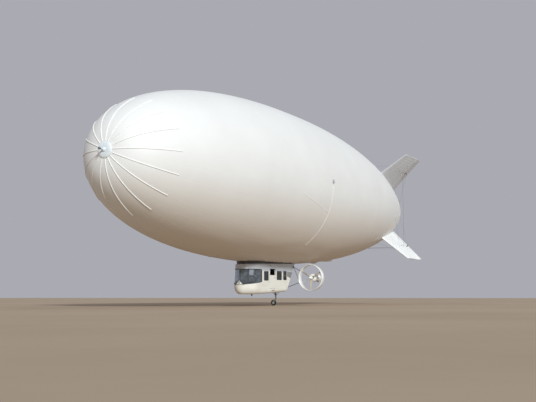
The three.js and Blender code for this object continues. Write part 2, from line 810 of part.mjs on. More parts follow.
function buildEngine(place, side) {
  const nacelle = new THREE.Group();
  nacelle.position.set(0, side * engineOut, engineZ);
  airship.add(nacelle);

  const skin = [...cowlOutline(0), ...cowlOutline(-cowlSkin).reverse()];
  addPiece(`engine_cowl_${place}`, solid(turned([...skin, skin[0]], cowlSides)), panelWhite, nacelle);

  const roomOutline = [[toX(cowlFront - 10), 0], ...cowlOutline(seatGap), [toX(cowlRear), 0]];
  const cowlRoom = solid(turned(roomOutline, cowlSides));
  const hubBand = [
    [toX(bandFront), 290],
    [toX(bandFront), 348],
    [toX(bandRear), 352],
    [toX(bandRear), 290],
    [toX(bandFront), 290],
  ];
  let shroud = ringBody(0);
  for (const angle of vaneAngles) {
    const vane = across(outlineShape([
      [toX(bandFront + 5), 340],
      [toX(bandRear - 5), 340],
      [toX(ringRear - 15), ringInner + 25],
      [toX(ringRear - 140), ringInner + 25],
    ]), -11, 11);
    shroud = shroud.add(solid(vane.rotateX(radians(angle - 90))));
  }
  shroud = shroud.add(solid(turned(hubBand, cowlSides)).subtract(cowlRoom));
  addPiece(`shroud_${place}`, shroud, skinWhite, nacelle);

  const engineFront = toX(cowlFront + 330);
  const engineRear = toX(cowlFront + 1080);
  const blockHalf = (cowlRadiusAt(cowlFront + 1080) - cowlSkin - seatGap) * Math.SQRT1_2;
  const engine = solid(block([engineRear, -blockHalf, -blockHalf], [engineFront, blockHalf, blockHalf]));
  const shaft = solid(rod([engineFront - 10, 0, 0], [toX(propStation - 60), 0, 0], 32, 16));
  addPiece(`engine_block_${place}`, engine.add(shaft), darkSteel, nacelle);

  const propeller = solid(turned([
    [toX(propStation - 260), 0],
    [toX(propStation - 225), 70],
    [toX(propStation - 130), 135],
    [toX(propStation - 20), 165],
    [toX(propStation + 110), 170],
    [toX(propStation + 110), 0],
  ], 24));
  const bore = solid(rod([toX(propStation - 62), 0, 0], [toX(propStation + 130), 0, 0], 32 + pinGap, 16));
  const bladeRings = [
    { out: 120, chord: 120, thick: 60, pitch: 48 },
    { out: 380, chord: 170, thick: 34, pitch: 38 },
    { out: 720, chord: 165, thick: 22, pitch: 27 },
    { out: bladeTip - 60, chord: 120, thick: 14, pitch: 21 },
    { out: bladeTip, chord: 60, thick: 8, pitch: 20 },
  ].map(({ out, chord, thick, pitch }) => {
    const ring = [];
    for (let i = 0; i < 8; i += 1) {
      const turn = (-i * 2 * Math.PI) / 8;
      const wide = (Math.cos(turn) * chord) / 2;
      const deep = (Math.sin(turn) * thick) / 2;
      const lean = radians(pitch);
      const x = toX(propStation) + wide * Math.sin(lean) + deep * Math.cos(lean);
      ring.push([x, wide * Math.cos(lean) - deep * Math.sin(lean), out]);
    }
    return ring;
  });
  let blades = propeller;
  for (const angle of [0, 120, 240]) {
    blades = blades.add(solid(loft(bladeRings).rotateX(radians(angle + side * 57))));
  }
  addPiece(`propeller_${place}`, blades.subtract(bore), bladeGrey, nacelle);

  buildTruss(place, side);
}

// Struts from the gondola's rear corners to pads on the inboard rim of the ring.
const trussFeet = {
  upper: { station: 25410, out: cabinHalfWidth + 34, z: -7000 },
  lower: { station: 24300, out: cabinHalfWidth - 110, z: -8860 },
};
const trussPads = { station: 26300, half: 120, radius: 42, upper: 30, lower: -20 };

function buildTruss(place, side) {
  const rimPoint = (angle, station, reach) => [
    toX(station),
    side * (engineOut - reach * Math.cos(radians(angle))),
    engineZ + reach * Math.sin(radians(angle)),
  ];
  const footPoint = ({ station, out, z }) => [toX(station), side * out, z];
  const upper = footPoint(trussFeet.upper);
  const lower = footPoint(trussFeet.lower);
  const padReach = ringOuter - 5;
  const pads = [trussPads.upper, trussPads.lower].map((angle) => {
    const ahead = rimPoint(angle, trussPads.station - trussPads.half, padReach);
    const behind = rimPoint(angle, trussPads.station + trussPads.half, padReach);
    return rod(behind, ahead, trussPads.radius, 12);
  });
  const rimUpper = rimPoint(trussPads.upper, trussPads.station, ringOuter + 10);
  const rimLower = rimPoint(trussPads.lower, trussPads.station, ringOuter + 10);
  const tubes = [rod(upper, rimUpper, 26), rod(lower, rimLower, 26), rod(upper, rimLower, 20), ...pads];
  const feet = [upper, lower].map(([x, y, z]) => block([x - 70, y - 70, z - 80], [x + 70, y + 70, z + 80]));
  const nearWall = across(outlineShape([
    [toX(25540), -6700],
    [toX(25540), -7200],
    [toX(24410), -9200],
    [toX(24020), -9200],
    [toX(24020), -6700],
  ]), -cabinHalfWidth - 36, cabinHalfWidth + 36);
  const plates = joined(feet.map(solid)).intersect(solid(nearWall));
  const truss = joined([...tubes.map(solid), plates]).subtract(cabinBody(-seatGap));
  const clearRing = moved(ringBody(seatGap), [0, side * engineOut, engineZ]);
  addPiece(`engine_truss_${place}`, truss.subtract(clearRing), darkSteel);
}

function moved(body, offset) {
  return solid(surface(body).translate(...offset));
}

// Landing gear: one fixed leg, a free castering fork and its wheel.
function buildGear() {
  const x = toX(legStation);
  const bellyHere = bellyZ(legStation);
  const legTube = solid(rod([x, 0, socketZ], [x, 0, bellyHere + 200], 60, 16));
  const socket = solid(rod([x, 0, socketZ - 10], [x, 0, braceFoot], stemRadius + pinGap, 16));
  const braces = gearBraces.map(([dx, dy]) => (
    solid(rod([x, 0, braceFoot], [x + dx, dy, bellyHere + 120], 20))
  ));
  const leg = joined([legTube, ...braces]).subtract(cabinBody(-seatGap)).subtract(socket);
  addPiece('gear_leg', leg, darkSteel);

  // The fork and the wheel are drawn trailing aft, then turned to starboard.
  const swivel = new THREE.Group();
  swivel.position.set(x, 0, 0);
  swivel.rotation.z = Math.PI / 2;
  airship.add(swivel);
  const crownZ = socketZ - seatGap;
  const axleHalf = forkHalf + 10;
  const stem = solid(rod([0, 0, crownZ - 30], [0, 0, braceFoot - 40], stemRadius, 16));
  const crown = solid(block([-60, -forkHalf, crownZ - 60], [60, forkHalf, crownZ]));
  const axle = solid(rod([-wheelTrail, -axleHalf, wheelZ], [-wheelTrail, axleHalf, wheelZ], axleRadius, 16));
  const armShape = outlineShape([
    [-58, crownZ - 5],
    [58, crownZ - 5],
    [45 - wheelTrail, wheelZ + 20],
    [30 - wheelTrail, wheelZ - 45],
    [-40 - wheelTrail, wheelZ - 40],
  ]);
  const arms = [forkHalf - forkPlate, -forkHalf].map((low) => solid(across(armShape, low, low + forkPlate)));
  addPiece('gear_fork', joined([stem, crown, axle, ...arms]), darkSteel, swivel);

  const wheel = new THREE.Group();
  wheel.position.set(-wheelTrail, 0, wheelZ);
  wheel.rotation.z = Math.PI / 2;
  swivel.add(wheel);
  const hubHalf = 80;
  const rimHalf = 60;
  const rimRadius = 130;
  const bore = axleRadius + pinGap;
  const hub = [
    [hubHalf, bore],
    [hubHalf, 45],
    [rimHalf - 30, 60],
    [rimHalf, rimRadius],
    [-rimHalf, rimRadius],
    [-rimHalf + 30, 60],
    [-hubHalf, 45],
    [-hubHalf, bore],
    [hubHalf, bore],
  ];
  addPiece('wheel_hub', solid(turned(hub, 24)), paleMetal, wheel);
  const half = wheelWidth / 2;
  const tyre = [
    [rimHalf, rimRadius + seatGap],
    [half, rimRadius + 45],
    [half - 15, wheelRadius - 35],
    [half - 45, wheelRadius],
    [-half + 45, wheelRadius],
    [-half + 15, wheelRadius - 35],
    [-half, rimRadius + 45],
    [-rimHalf, rimRadius + seatGap],
    [rimHalf, rimRadius + seatGap],
  ];
  addPiece('tyre', solid(turned(tyre, 24)), blackRubber, wheel);
}

buildEnvelope();
buildAirValves();
buildGasValves();
buildNose();
buildTail();
buildStays();
buildGondola();
buildGlass();
buildCabinFittings();
for (const { place, side } of sides) buildEngine(place, side);
buildGear();

airship.scale.setScalar(modelScale);

export default airship;
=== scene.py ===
import math
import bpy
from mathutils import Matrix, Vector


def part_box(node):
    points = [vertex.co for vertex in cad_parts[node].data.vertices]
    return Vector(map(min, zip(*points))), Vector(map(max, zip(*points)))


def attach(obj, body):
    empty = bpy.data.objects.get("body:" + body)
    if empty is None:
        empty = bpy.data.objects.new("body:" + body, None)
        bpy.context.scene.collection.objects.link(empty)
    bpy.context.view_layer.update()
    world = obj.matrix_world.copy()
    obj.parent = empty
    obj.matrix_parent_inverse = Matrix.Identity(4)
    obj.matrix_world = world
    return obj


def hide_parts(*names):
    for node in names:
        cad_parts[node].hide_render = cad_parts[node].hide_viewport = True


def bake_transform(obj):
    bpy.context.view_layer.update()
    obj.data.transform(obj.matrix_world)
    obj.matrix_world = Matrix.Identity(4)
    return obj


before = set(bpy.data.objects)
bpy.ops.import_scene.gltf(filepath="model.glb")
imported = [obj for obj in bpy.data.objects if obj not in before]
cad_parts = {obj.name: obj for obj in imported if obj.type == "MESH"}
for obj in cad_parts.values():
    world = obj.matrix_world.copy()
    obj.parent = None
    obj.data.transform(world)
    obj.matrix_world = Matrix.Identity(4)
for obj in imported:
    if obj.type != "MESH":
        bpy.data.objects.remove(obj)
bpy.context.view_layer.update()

from types import SimpleNamespace

import bmesh
import bpy
from mathutils import Matrix, Vector
from mathutils.bvhtree import BVHTree

print("frame loaded:", len(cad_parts), "nodes")

# Stations, outs and heights are the full-size ship's metres, and at() brings them to the half-size
# model. A station is the distance behind the tip of the nose. Sizes of small fittings, such as the
# radius of a tube or a rivet, are the model's own metres.
shipScale = 0.5
noseTip = 24.0
mirrored = {"Port": 1, "Starboard": -1}


def at(station, out, height):
    return Vector((noseTip - station, out, height)) * shipScale


def xAt(station):
    return at(station, 0, 0).x


def zAt(height):
    return at(0, 0, height).z


def linear(hexColour):
    # sRGB hex to the linear colour that the shader wants
    parts = [int(hexColour[i:i + 2], 16) / 255 for i in (1, 3, 5)]
    return [c / 12.92 if c <= 0.04045 else ((c + 0.055) / 1.055) ** 2.4 for c in parts] + [1.0]


def cycles(millimetres):
    # how many times a pattern of that full-size spacing repeats in one metre of the model
    return 1000 / (millimetres * shipScale)


def bandScale(millimetres):
    # the scale that sets a wave texture's bands that far apart: each unit of it has 10 / pi bands
    return cycles(millimetres) * math.pi / 10


def newObject(name, data):
    made = bpy.data.objects.new(name, data)
    bpy.context.scene.collection.objects.link(made)
    return made


# View and light

view = {
    "place": (34.0345, 18.1375, -4.8558),  # model metres
    "heading": -2.643,  # radians from +X, seen from above
    "tilt": 0.1116,  # radians above the horizon
    "lens": 57.69, "sensor": 36, "nearest": 0.1, "farthest": 2000,
}
studio = {
    "floorHeight": -5.2262, "floorSize": 700,
    "sky": "#aaabb2", "skyStrength": 1.0,
    "sunColour": "#f7feff", "sunStrength": 2.85, "sunFrom": (0.612, 0.678, 0.407),
    "sunWidth": 9,  # degrees across, which softens the shadow edges
}


def makeCamera():
    lens = bpy.data.cameras.new("camera")
    lens.lens = view["lens"]
    lens.sensor_width = view["sensor"]
    lens.clip_start = view["nearest"]
    lens.clip_end = view["farthest"]
    camera = newObject("camera", lens)
    heading, tilt = view["heading"], view["tilt"]
    level = math.cos(tilt)
    forward = Vector((level * math.cos(heading), level * math.sin(heading), math.sin(tilt)))
    camera.location = view["place"]
    camera.rotation_mode = "QUATERNION"
    camera.rotation_quaternion = forward.to_track_quat("-Z", "Y")
    bpy.context.scene.camera = camera


def makeLight():
    sun = bpy.data.lights.new("sun", "SUN")
    sun.energy = studio["sunStrength"]
    sun.angle = math.radians(studio["sunWidth"])
    sun.color = linear(studio["sunColour"])[:3]
    lamp = newObject("sun", sun)
    lamp.rotation_mode = "QUATERNION"
    lamp.rotation_quaternion = Vector(studio["sunFrom"]).to_track_quat("Z", "Y")
    world = bpy.data.worlds.new("studio")
    world.use_nodes = True
    background = world.node_tree.nodes["Background"]
    background.inputs["Color"].default_value = linear(studio["sky"])
    background.inputs["Strength"].default_value = studio["skyStrength"]
    bpy.context.scene.world = world
    bpy.context.scene.view_settings.view_transform = "Standard"


# Materials

def addNode(tree, kind, inputs=None, **settings):
    made = tree.nodes.new("ShaderNode" + kind)
    for name, value in settings.items():
        setattr(made, name, value)
    for name, value in (inputs or {}).items():
        if isinstance(value, bpy.types.NodeSocket):
            tree.links.new(value, made.inputs[name])
        else:
            made.inputs[name].default_value = value
    return made


def newMaterial(name, **shader):
    material = bpy.data.materials.new(name)
    material.use_nodes = True
    tree = material.node_tree
    principled = tree.nodes["Principled BSDF"]
    for socket, value in shader.items():
        principled.inputs[socket.replace("_", " ")].default_value = value
    place = addNode(tree, "TexCoord").outputs["Object"]
    return SimpleNamespace(material=material, tree=tree, principled=principled, place=place)


def feed(paint, socket, source):
    paint.tree.links.new(source, paint.principled.inputs[socket])


# Two colours and two roughnesses that drift into each other, and a fine relief of a strength and depth.
def wornFinish(name, fresh, worn, drift, grain, rough, relief, **shader):
    paint = newMaterial(name, **shader)
    tree, place = paint.tree, paint.place
    patches = addNode(tree, "TexNoise", {
        "Vector": place, "Scale": cycles(drift), "Detail": 5.0, "Roughness": 0.6,
    }).outputs["Fac"]
    soft = addNode(tree, "MapRange", {"Value": patches, "From Min": 0.35, "From Max": 0.68})
    paint.colour = addNode(tree, "Mix", {
        "Factor": soft.outputs["Result"], "A": linear(fresh), "B": linear(worn),
    }, data_type="RGBA").outputs["Result"]
    paint.grain = addNode(tree, "TexNoise", {
        "Vector": place, "Scale": cycles(grain), "Detail": 3.0,
    }).outputs["Fac"]
    paint.bump = addNode(tree, "Bump", {
        "Height": paint.grain, "Strength": relief[0], "Distance": relief[1],
    })
    dulled = addNode(tree, "MapRange", {"Value": patches, "To Min": rough[0], "To Max": rough[1]})
    feed(paint, "Base Color", paint.colour)
    feed(paint, "Roughness", dulled.outputs["Result"])
    feed(paint, "Normal", paint.bump.outputs["Normal"])
    return paint


# Adds a second relief pattern under the worn finish's own.
def addRelief(paint, height, strength, depth):
    under = addNode(paint.tree, "Bump", {"Height": height, "Strength": strength, "Distance": depth})
    paint.tree.links.new(under.outputs["Normal"], paint.bump.inputs["Normal"])


# Over and under threads along two axes, as a height from 0 to 1.
def weave(paint, spacing, directions=("X", "Y")):
    across, along = (
        addNode(paint.tree, "TexWave", {"Vector": paint.place, "Scale": bandScale(spacing)},
                wave_type="BANDS", bands_direction=direction).outputs["Fac"]
        for direction in directions
    )
    return addNode(paint.tree, "Math", {0: across, 1: along}, operation="MULTIPLY").outputs["Value"]


# A further colour that comes in from one place on an axis of the model to another.
def tintAlong(paint, axis, start, end, hexColour, most=1.0):
    axes = addNode(paint.tree, "SeparateXYZ", {"Vector": paint.place}).outputs
    share = addNode(paint.tree, "MapRange", {
        "Value": axes[axis], "From Min": start, "From Max": end, "To Max": most,
    })
    tinted = addNode(paint.tree, "Mix", {
        "Factor": share.outputs["Result"], "A": paint.colour, "B": linear(hexColour),
    }, data_type="RGBA")
    feed(paint, "Base Color", tinted.outputs["Result"])


def coatedEnvelopeFabric():
    # Polyester cloth with a white polyurethane film, welded in gores: a dull white with a faint
    # gloss, greyer in drifts where dust holds. Towards the belly it turns sandy: partly dust, and
    # partly painted warm shade that stands in for light thrown up from the ground. Its 0.5 mm
    # threads are drawn at 38 mm to show.
    paint = wornFinish("coatedEnvelopeFabric", "#eeeeec", "#e8e7e5", drift=5200, grain=900,
                       rough=(0.42, 0.56), relief=(0.12, 0.004), Specular_IOR_Level=0.45)
    addRelief(paint, weave(paint, 37.7, ("X", "Z")), 0.04, 0.0006)
    # painted warm shade with some sandy dust, stronger towards the belly
    tintAlong(paint, "Z", zAt(-1.1), zAt(-6.2), "#dfd2c3", 0.86)
    return paint.material


def sleeveFabric():
    # The same cloth in fresh folded strips, whiter and a little duller than the hull round it, with
    # its threads drawn at 10 mm.
    paint = wornFinish("sleeveFabric", "#f2f2f0", "#e8e8e6", drift=700, grain=60,
                       rough=(0.5, 0.62), relief=(0.2, 0.001), Specular_IOR_Level=0.4)
    addRelief(paint, weave(paint, 10.05), 0.15, 0.0006)
    return paint.material


def dopedFinFabric():
    # Heat-shrunk polyester over ribs with white dope: tight, satin and slightly streaked along
    # the brush strokes. The upper fins take a cool grey, which is painted shade for faces that lie
    # out of the sun. Its threads are drawn at 19 mm.
    paint = wornFinish("dopedFinFabric", "#f6f6f4", "#eaeae9", drift=2400, grain=240,
                       rough=(0.52, 0.62), relief=(0.03, 0.0006), Specular_IOR_Level=0.5)
    addRelief(paint, weave(paint, 18.85), 0.02, 0.0002)
    # painted shade: a cool grey over the upper fins
    tintAlong(paint, "Z", zAt(-1.5), zAt(1.5), "#cdcfd3")
    return paint.material


gondolaPaint = {
    # grey: two-tone paint on the rear panel, and painted shade on the windscreen's frame
    "cream": "#f2efe6", "creamWorn": "#e7e4da", "grey": "#8e8f90", "greyWorn": "#828385",
    # the pale band is grey paint that also stands in, in part, for the hull's shadow along the gondola's top
    "band": "#c9cdd2", "bandWorn": "#bbc0c7", "fade": 0.004,
    "bandFoot": -7.47,  # the pale band's lower edge, in line with the window heads
    # lines that slant down towards the rear or the nose: station, height, fall for each metre aft
    "rearPanel": (24.16, -7.85, 0.243),
    # above this line the windscreen frame is painted grey as shade over its posts
    "screenFoot": (19.5, -8.43, -0.124),
}


# Enamel in up to three colours: cream, then a grey area and a pale band along the top.
def twoToneEnamel(name, area, onlyBehind):
    paint = wornFinish(name, gondolaPaint["cream"], gondolaPaint["creamWorn"], drift=900, grain=14,
                       rough=(0.26, 0.42), relief=(0.1, 0.0004), Coat_Weight=0.35, Coat_Roughness=0.12)
    tree = paint.tree
    axes = addNode(tree, "SeparateXYZ", {"Vector": paint.place}).outputs

    def beyond(socket, edge, fade=gondolaPaint["fade"]):
        share = addNode(tree, "MapRange", {"Value": socket, "From Min": edge - fade, "From Max": edge})
        return share.outputs["Result"]

    def painted(under, mask, fresh):
        shades = {"A": linear(gondolaPaint[fresh]), "B": linear(gondolaPaint[fresh + "Worn"])}
        coat = addNode(tree, "Mix", {"Factor": paint.grain, **shades}, data_type="RGBA").outputs["Result"]
        layers = {"Factor": mask, "A": under, "B": coat}
        return addNode(tree, "Mix", layers, data_type="RGBA").outputs["Result"]

    station, height, fall = gondolaPaint[area]
    corner = at(station, 0, height)
    slanted = addNode(tree, "Math", {
        0: axes["X"], 1: -fall, 2: axes["Z"],
    }, operation="MULTIPLY_ADD").outputs["Value"]
    region = beyond(slanted, corner.z - fall * corner.x)
    if onlyBehind:
        behind = beyond(axes["X"], corner.x, -gondolaPaint["fade"])
        region = addNode(tree, "Math", {0: region, 1: behind}, operation="MULTIPLY").outputs["Value"]
    # the grey area: paint behind the last window, and painted shade on the windscreen's posts
    coat = painted(paint.colour, region, "grey")
    # the pale band along the top: paint, and partly painted shade from the hull above
    coat = painted(coat, beyond(axes["Z"], zAt(gondolaPaint["bandFoot"])), "band")
    feed(paint, "Base Color", coat)
    return paint.material


def gondolaEnamel():
    # Two-tone polyurethane enamel over glass fibre: cream below, pale grey above the windows and
    # mid grey behind the last one, with soft orange peel.
    # the pale grey above the windows is partly painted shade from the hull
    return twoToneEnamel("gondolaEnamel", "rearPanel", True)


def screenEnamel():
    # The same enamel on the windscreen's frame, grey down to the foot of the panes: painted shade
    # that stands in for the hull's shadow over the posts.
    return twoToneEnamel("screenEnamel", "screenFoot", False)


def whiteGelcoat():
    # Moulded glass fibre in white gelcoat: glossy, faintly wavy, with a grey bloom near seams.
    return wornFinish("whiteGelcoat", "#fbfbf9", "#ecebe8", drift=420, grain=60, rough=(0.2, 0.36),
                      relief=(0.08, 0.0008), Coat_Weight=0.5, Coat_Roughness=0.08).material


def greyPaintedSteel():
    # Welded steel tube in dark grey brushed paint, satin and lighter where hands rub it.
    return wornFinish("greyPaintedSteel", "#3a3d40", "#54575a", drift=260, grain=18, rough=(0.38, 0.58),
                      relief=(0.25, 0.0004), Specular_IOR_Level=0.5).material


def silverPaintedSteel():
    # The landing gear's steel tube in silver-grey machine enamel, chalked and chipped by gravel.
    return wornFinish("silverPaintedSteel", "#a3a5a5", "#7d7f7f", drift=140, grain=12, rough=(0.36, 0.6),
                      relief=(0.25, 0.0004), Specular_IOR_Level=0.5).material


def anodisedAluminium():
    # The gas valves' spun bodies in grey anodised aluminium, soft and even.
    return wornFinish("anodisedAluminium", "#c0c3c5", "#a4a8ab", drift=160, grain=10, rough=(0.38, 0.55),
                      relief=(0.15, 0.0003), Specular_IOR_Level=0.5).material


def satinAluminium():
    # Spun and bead-blasted aluminium, pale and slightly blue, with a soft wide highlight.
    return wornFinish("satinAluminium", "#d9e0e6", "#bcc4cb", drift=300, grain=8, rough=(0.32, 0.46),
                      relief=(0.2, 0.0003), Metallic=0.85).material


def castAlloy():
    # Sand-cast engine alloy, dull and pitted, stained by oil.
    return wornFinish("castAlloy", "#7c7e80", "#4a4642", drift=140, grain=6, rough=(0.5, 0.72),
                      relief=(0.5, 0.0008), Metallic=0.8).material


def nosePaint():
    # The spun nose dish wears a chalky blue-white primer.
    return wornFinish("nosePaint", "#edf3f6", "#dde6eb", drift=420, grain=20, rough=(0.36, 0.5),
                      relief=(0.12, 0.0005), Specular_IOR_Level=0.5).material


def turnedSteel():
    # The mooring spindle: turned steel in the dish's primer, worn bare and dark over its tip.
    paint = wornFinish("turnedSteel", "#e6edf1", "#d3dce2", drift=220, grain=10, rough=(0.32, 0.46),
                       relief=(0.12, 0.0003), Specular_IOR_Level=0.5)
    tintAlong(paint, "X", xAt(-0.4), xAt(-0.44), "#6b6e70")
    return paint.material


def strandedSteel():
    # Galvanised wire rope, grey with a twist of strands. They are drawn 7 mm apart, because a
    # diagonal wave's bands lie wider than the others'.
    paint = wornFinish("strandedSteel", "#8e9296", "#6d7175", drift=120, grain=12, rough=(0.34, 0.5),
                       relief=(0.2, 0.0003), Metallic=0.9)
    lay = addNode(paint.tree, "TexWave", {"Vector": paint.place, "Scale": bandScale(6.28)},
                  wave_type="BANDS", bands_direction="DIAGONAL").outputs["Fac"]
    addRelief(paint, lay, 0.4, 0.0008)
    return paint.material


def castAcrylic(name, clear, hazed):
    # Cast acrylic panes with a smoke-blue tint: clear enough to see the seats, with a hard gloss.
    # The side windows are smoked darker than the windscreen.
    paint = newMaterial(name, Transmission_Weight=0.92, IOR=1.49, Specular_IOR_Level=0.6)
    haze = addNode(paint.tree, "TexNoise", {
        "Vector": paint.place, "Scale": cycles(700), "Detail": 2.0,
    }).outputs["Fac"]
    tint = addNode(paint.tree, "Mix", {
        "Factor": haze, "A": linear(clear), "B": linear(hazed),
    }, data_type="RGBA")
    rubbed = addNode(paint.tree, "MapRange", {"Value": haze, "To Min": 0.015, "To Max": 0.05})
    feed(paint, "Base Color", tint.outputs["Result"])
    feed(paint, "Roughness", rubbed.outputs["Result"])
    return paint.material


def dialGlass():
    # Instrument faces: matt black printed dials behind a flat cover, with a soft gloss.
    return wornFinish("dialGlass", "#101214", "#1b1e22", drift=40, grain=4, rough=(0.3, 0.42),
                      relief=(0.1, 0.0002), Coat_Weight=0.8, Coat_Roughness=0.05).material


def tyreRubber():
    # Black natural rubber, dusted brown in the grooves by the field.
    return wornFinish("tyreRubber", "#1d1c1b", "#3b362f", drift=90, grain=5, rough=(0.7, 0.92),
                      relief=(0.4, 0.0006), Specular_IOR_Level=0.3).material


def rubberSeal():
    # Extruded EPDM glazing strip, black with a waxy bloom.
    return wornFinish("rubberSeal", "#17181a", "#2c2d2f", drift=160, grain=6, rough=(0.5, 0.7),
                      relief=(0.2, 0.0003), Specular_IOR_Level=0.35).material


def nylonWebbing():
    # Seat belt webbing in charcoal nylon, ribbed across its width at 3 mm so that the ribs show.
    paint = wornFinish("nylonWebbing", "#393c41", "#2b2d31", drift=60, grain=3, rough=(0.6, 0.78),
                       relief=(0.2, 0.0003), Sheen_Weight=0.2, Specular_IOR_Level=0.35)
    addRelief(paint, weave(paint, 3.14), 0.5, 0.0006)
    return paint.material


def seatCloth():
    # Flat-woven blue-grey wool blend, matt with a nap; its 1.2 mm threads are drawn at 5 mm.
    paint = wornFinish("seatCloth", "#4c5a70", "#3d4858", drift=180, grain=4, rough=(0.82, 0.94),
                       relief=(0.3, 0.0005), Sheen_Weight=0.35, Sheen_Roughness=0.5,
                       Specular_IOR_Level=0.25)
    addRelief(paint, weave(paint, 5.03), 0.5, 0.0009)
    return paint.material


def loopCarpet():
    # Tufted loop-pile carpet, dark grey with flecks, in loops drawn at 9 mm.
    paint = wornFinish("loopCarpet", "#4a4c4e", "#36383b", drift=30, grain=9, rough=(0.88, 0.97),
                       relief=(0.6, 0.002), Sheen_Weight=0.2, Specular_IOR_Level=0.2)
    loops = addNode(paint.tree, "TexVoronoi", {"Vector": paint.place, "Scale": cycles(9)})
    addRelief(paint, loops.outputs["Distance"], 0.7, 0.002)
    return paint.material


def mouldedAbs():
    # Injection-moulded black ABS with a leather-like grain, drawn at 3 mm.
    paint = wornFinish("mouldedAbs", "#26282b", "#33363a", drift=150, grain=3, rough=(0.48, 0.62),
                       relief=(0.3, 0.0004), Specular_IOR_Level=0.4)
    cells = addNode(paint.tree, "TexVoronoi", {"Vector": paint.place, "Scale": cycles(3)})
    addRelief(paint, cells.outputs["Distance"], 0.35, 0.0003)
    return paint.material


def paintedBlade():
    # Laminated propeller blades in warm grey enamel, with rubbed leading edges.
    return wornFinish("paintedBlade", "#c9bdac", "#a99c8a", drift=160, grain=10, rough=(0.3, 0.48),
                      relief=(0.12, 0.0004), Coat_Weight=0.3, Coat_Roughness=0.2).material


def lampGlass(name, hexColour):
    # Pressed lens glass, rippled over a dark reflector at 3 mm.
    paint = newMaterial(name, Transmission_Weight=0.6, IOR=1.5, Roughness=0.08)
    ripple = addNode(paint.tree, "TexWave", {
        "Vector": paint.place, "Scale": bandScale(3.14),
    }, bands_direction="Z").outputs["Fac"]
    colour = addNode(paint.tree, "Mix", {
        "Factor": ripple, "A": linear(hexColour), "B": linear("#20242a"),
    }, data_type="RGBA")
    bump = addNode(paint.tree, "Bump", {"Height": ripple, "Strength": 0.4, "Distance": 0.0006})
    feed(paint, "Base Color", colour.outputs["Result"])
    feed(paint, "Normal", bump.outputs["Normal"])
    return paint.material


def studioFloor():
    # A plain pale floor, matt and warm, like swept sand-coloured concrete.
    return wornFinish("studioFloor", "#b7a48f", "#ae9b86", drift=16000, grain=300, rough=(0.9, 0.97),
                      relief=(0.1, 0.003), Specular_IOR_Level=0.1).material


makeCamera()
makeLight()
look = {
    "hull": coatedEnvelopeFabric(), "sleeve": sleeveFabric(), "fin": dopedFinFabric(),
    "enamel": gondolaEnamel(), "screen": screenEnamel(), "gelcoat": whiteGelcoat(),
    "steel": greyPaintedSteel(), "silver": silverPaintedSteel(), "aluminium": satinAluminium(),
    "anodised": anodisedAluminium(), "alloy": castAlloy(), "nose": nosePaint(),
    "spindle": turnedSteel(), "cable": strandedSteel(), "tyre": tyreRubber(), "seal": rubberSeal(),
    "cloth": seatCloth(), "webbing": nylonWebbing(), "carpet": loopCarpet(), "abs": mouldedAbs(),
    "dial": dialGlass(), "blade": paintedBlade(), "floor": studioFloor(),
    "smoked": castAcrylic("smokedAcrylic", "#788187", "#666f75"),
    "acrylic": castAcrylic("tintedAcrylic", "#dbe3ea", "#c8d2da"),
    "redLamp": lampGlass("redLampGlass", "#b3121a"),
    "greenLamp": lampGlass("greenLampGlass", "#0d8a4a"),
    "clearLamp": lampGlass("clearLampGlass", "#dfe6ea"),
}
# the materials, by the short names that the pieces below take
print("camera, light and", len(look), "materials ready")


# Mesh tools. Each adds to a bmesh that one piece is made from.

def between(first, last, count):
    return [first + (last - first) * i / (count - 1) for i in range(count)]


def mix(first, last, share):
    return first + (last - first) * share


def turns(count, shift=0):
    return [2 * math.pi * (i + shift) / count for i in range(count)]


# Direction square to the ship's length, turned from port (0) up over the top.
def spoke(turn):
    return Vector((0, math.cos(turn), math.sin(turn)))


def spokes(count, shift=0):
    return [spoke(turn) for turn in turns(count, shift)]


def meshFrom(bm, name, material=None):
    mesh = bpy.data.meshes.new(name)
    bm.to_mesh(mesh)
    bm.free()
    if material:
        mesh.materials.append(look[material])
    return mesh


def shadeSmooth(mesh):
    for polygon in mesh.polygons:
        polygon.use_smooth = True


def makePiece(bm, name, material, body="airship", replaces=(), crease=35):
    bmesh.ops.recalc_face_normals(bm, faces=bm.faces)
    mesh = meshFrom(bm, name, material)
    shadeSmooth(mesh)
    mesh.set_sharp_from_angle(angle=math.radians(crease))
    piece = newObject(name, mesh)
    if body:
        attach(piece, body)
    if replaces:
        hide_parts(*replaces)
    return piece


# Skin through rings of points. A ring of one point closes to a tip.
def addRings(bm, rings, loop=False):
    made = [[bm.verts.new(point) for point in ring] for ring in rings]
    pairs = list(zip(made, made[1:])) + ([(made[-1], made[0])] if loop else [])
    for low, high in pairs:
        count = max(len(low), len(high))
        for i in range(count):
            j = (i + 1) % count
            if len(low) == 1:
                bm.faces.new((low[0], high[j], high[i]))
            elif len(high) == 1:
                bm.faces.new((low[i], low[j], high[0]))
            else:
                bm.faces.new((low[i], low[j], high[j], high[i]))
    if not loop:
        for ring in (made[0], made[-1]):
            if len(ring) > 2:
                bm.faces.new(ring)


# Outline of (x, radius) pairs in model metres, turned about a line along X.
def addTurned(bm, outline, out=0.0, height=0.0, sides=64, loop=False):
    rings = []
    for x, radius in outline:
        if radius < 1e-6:
            rings.append([Vector((x, out, height))])
        else:
            rings.append([
                Vector((x, out + radius * math.cos(turn), height + radius * math.sin(turn)))
                for turn in turns(sides)
            ])
    addRings(bm, rings, loop=loop)


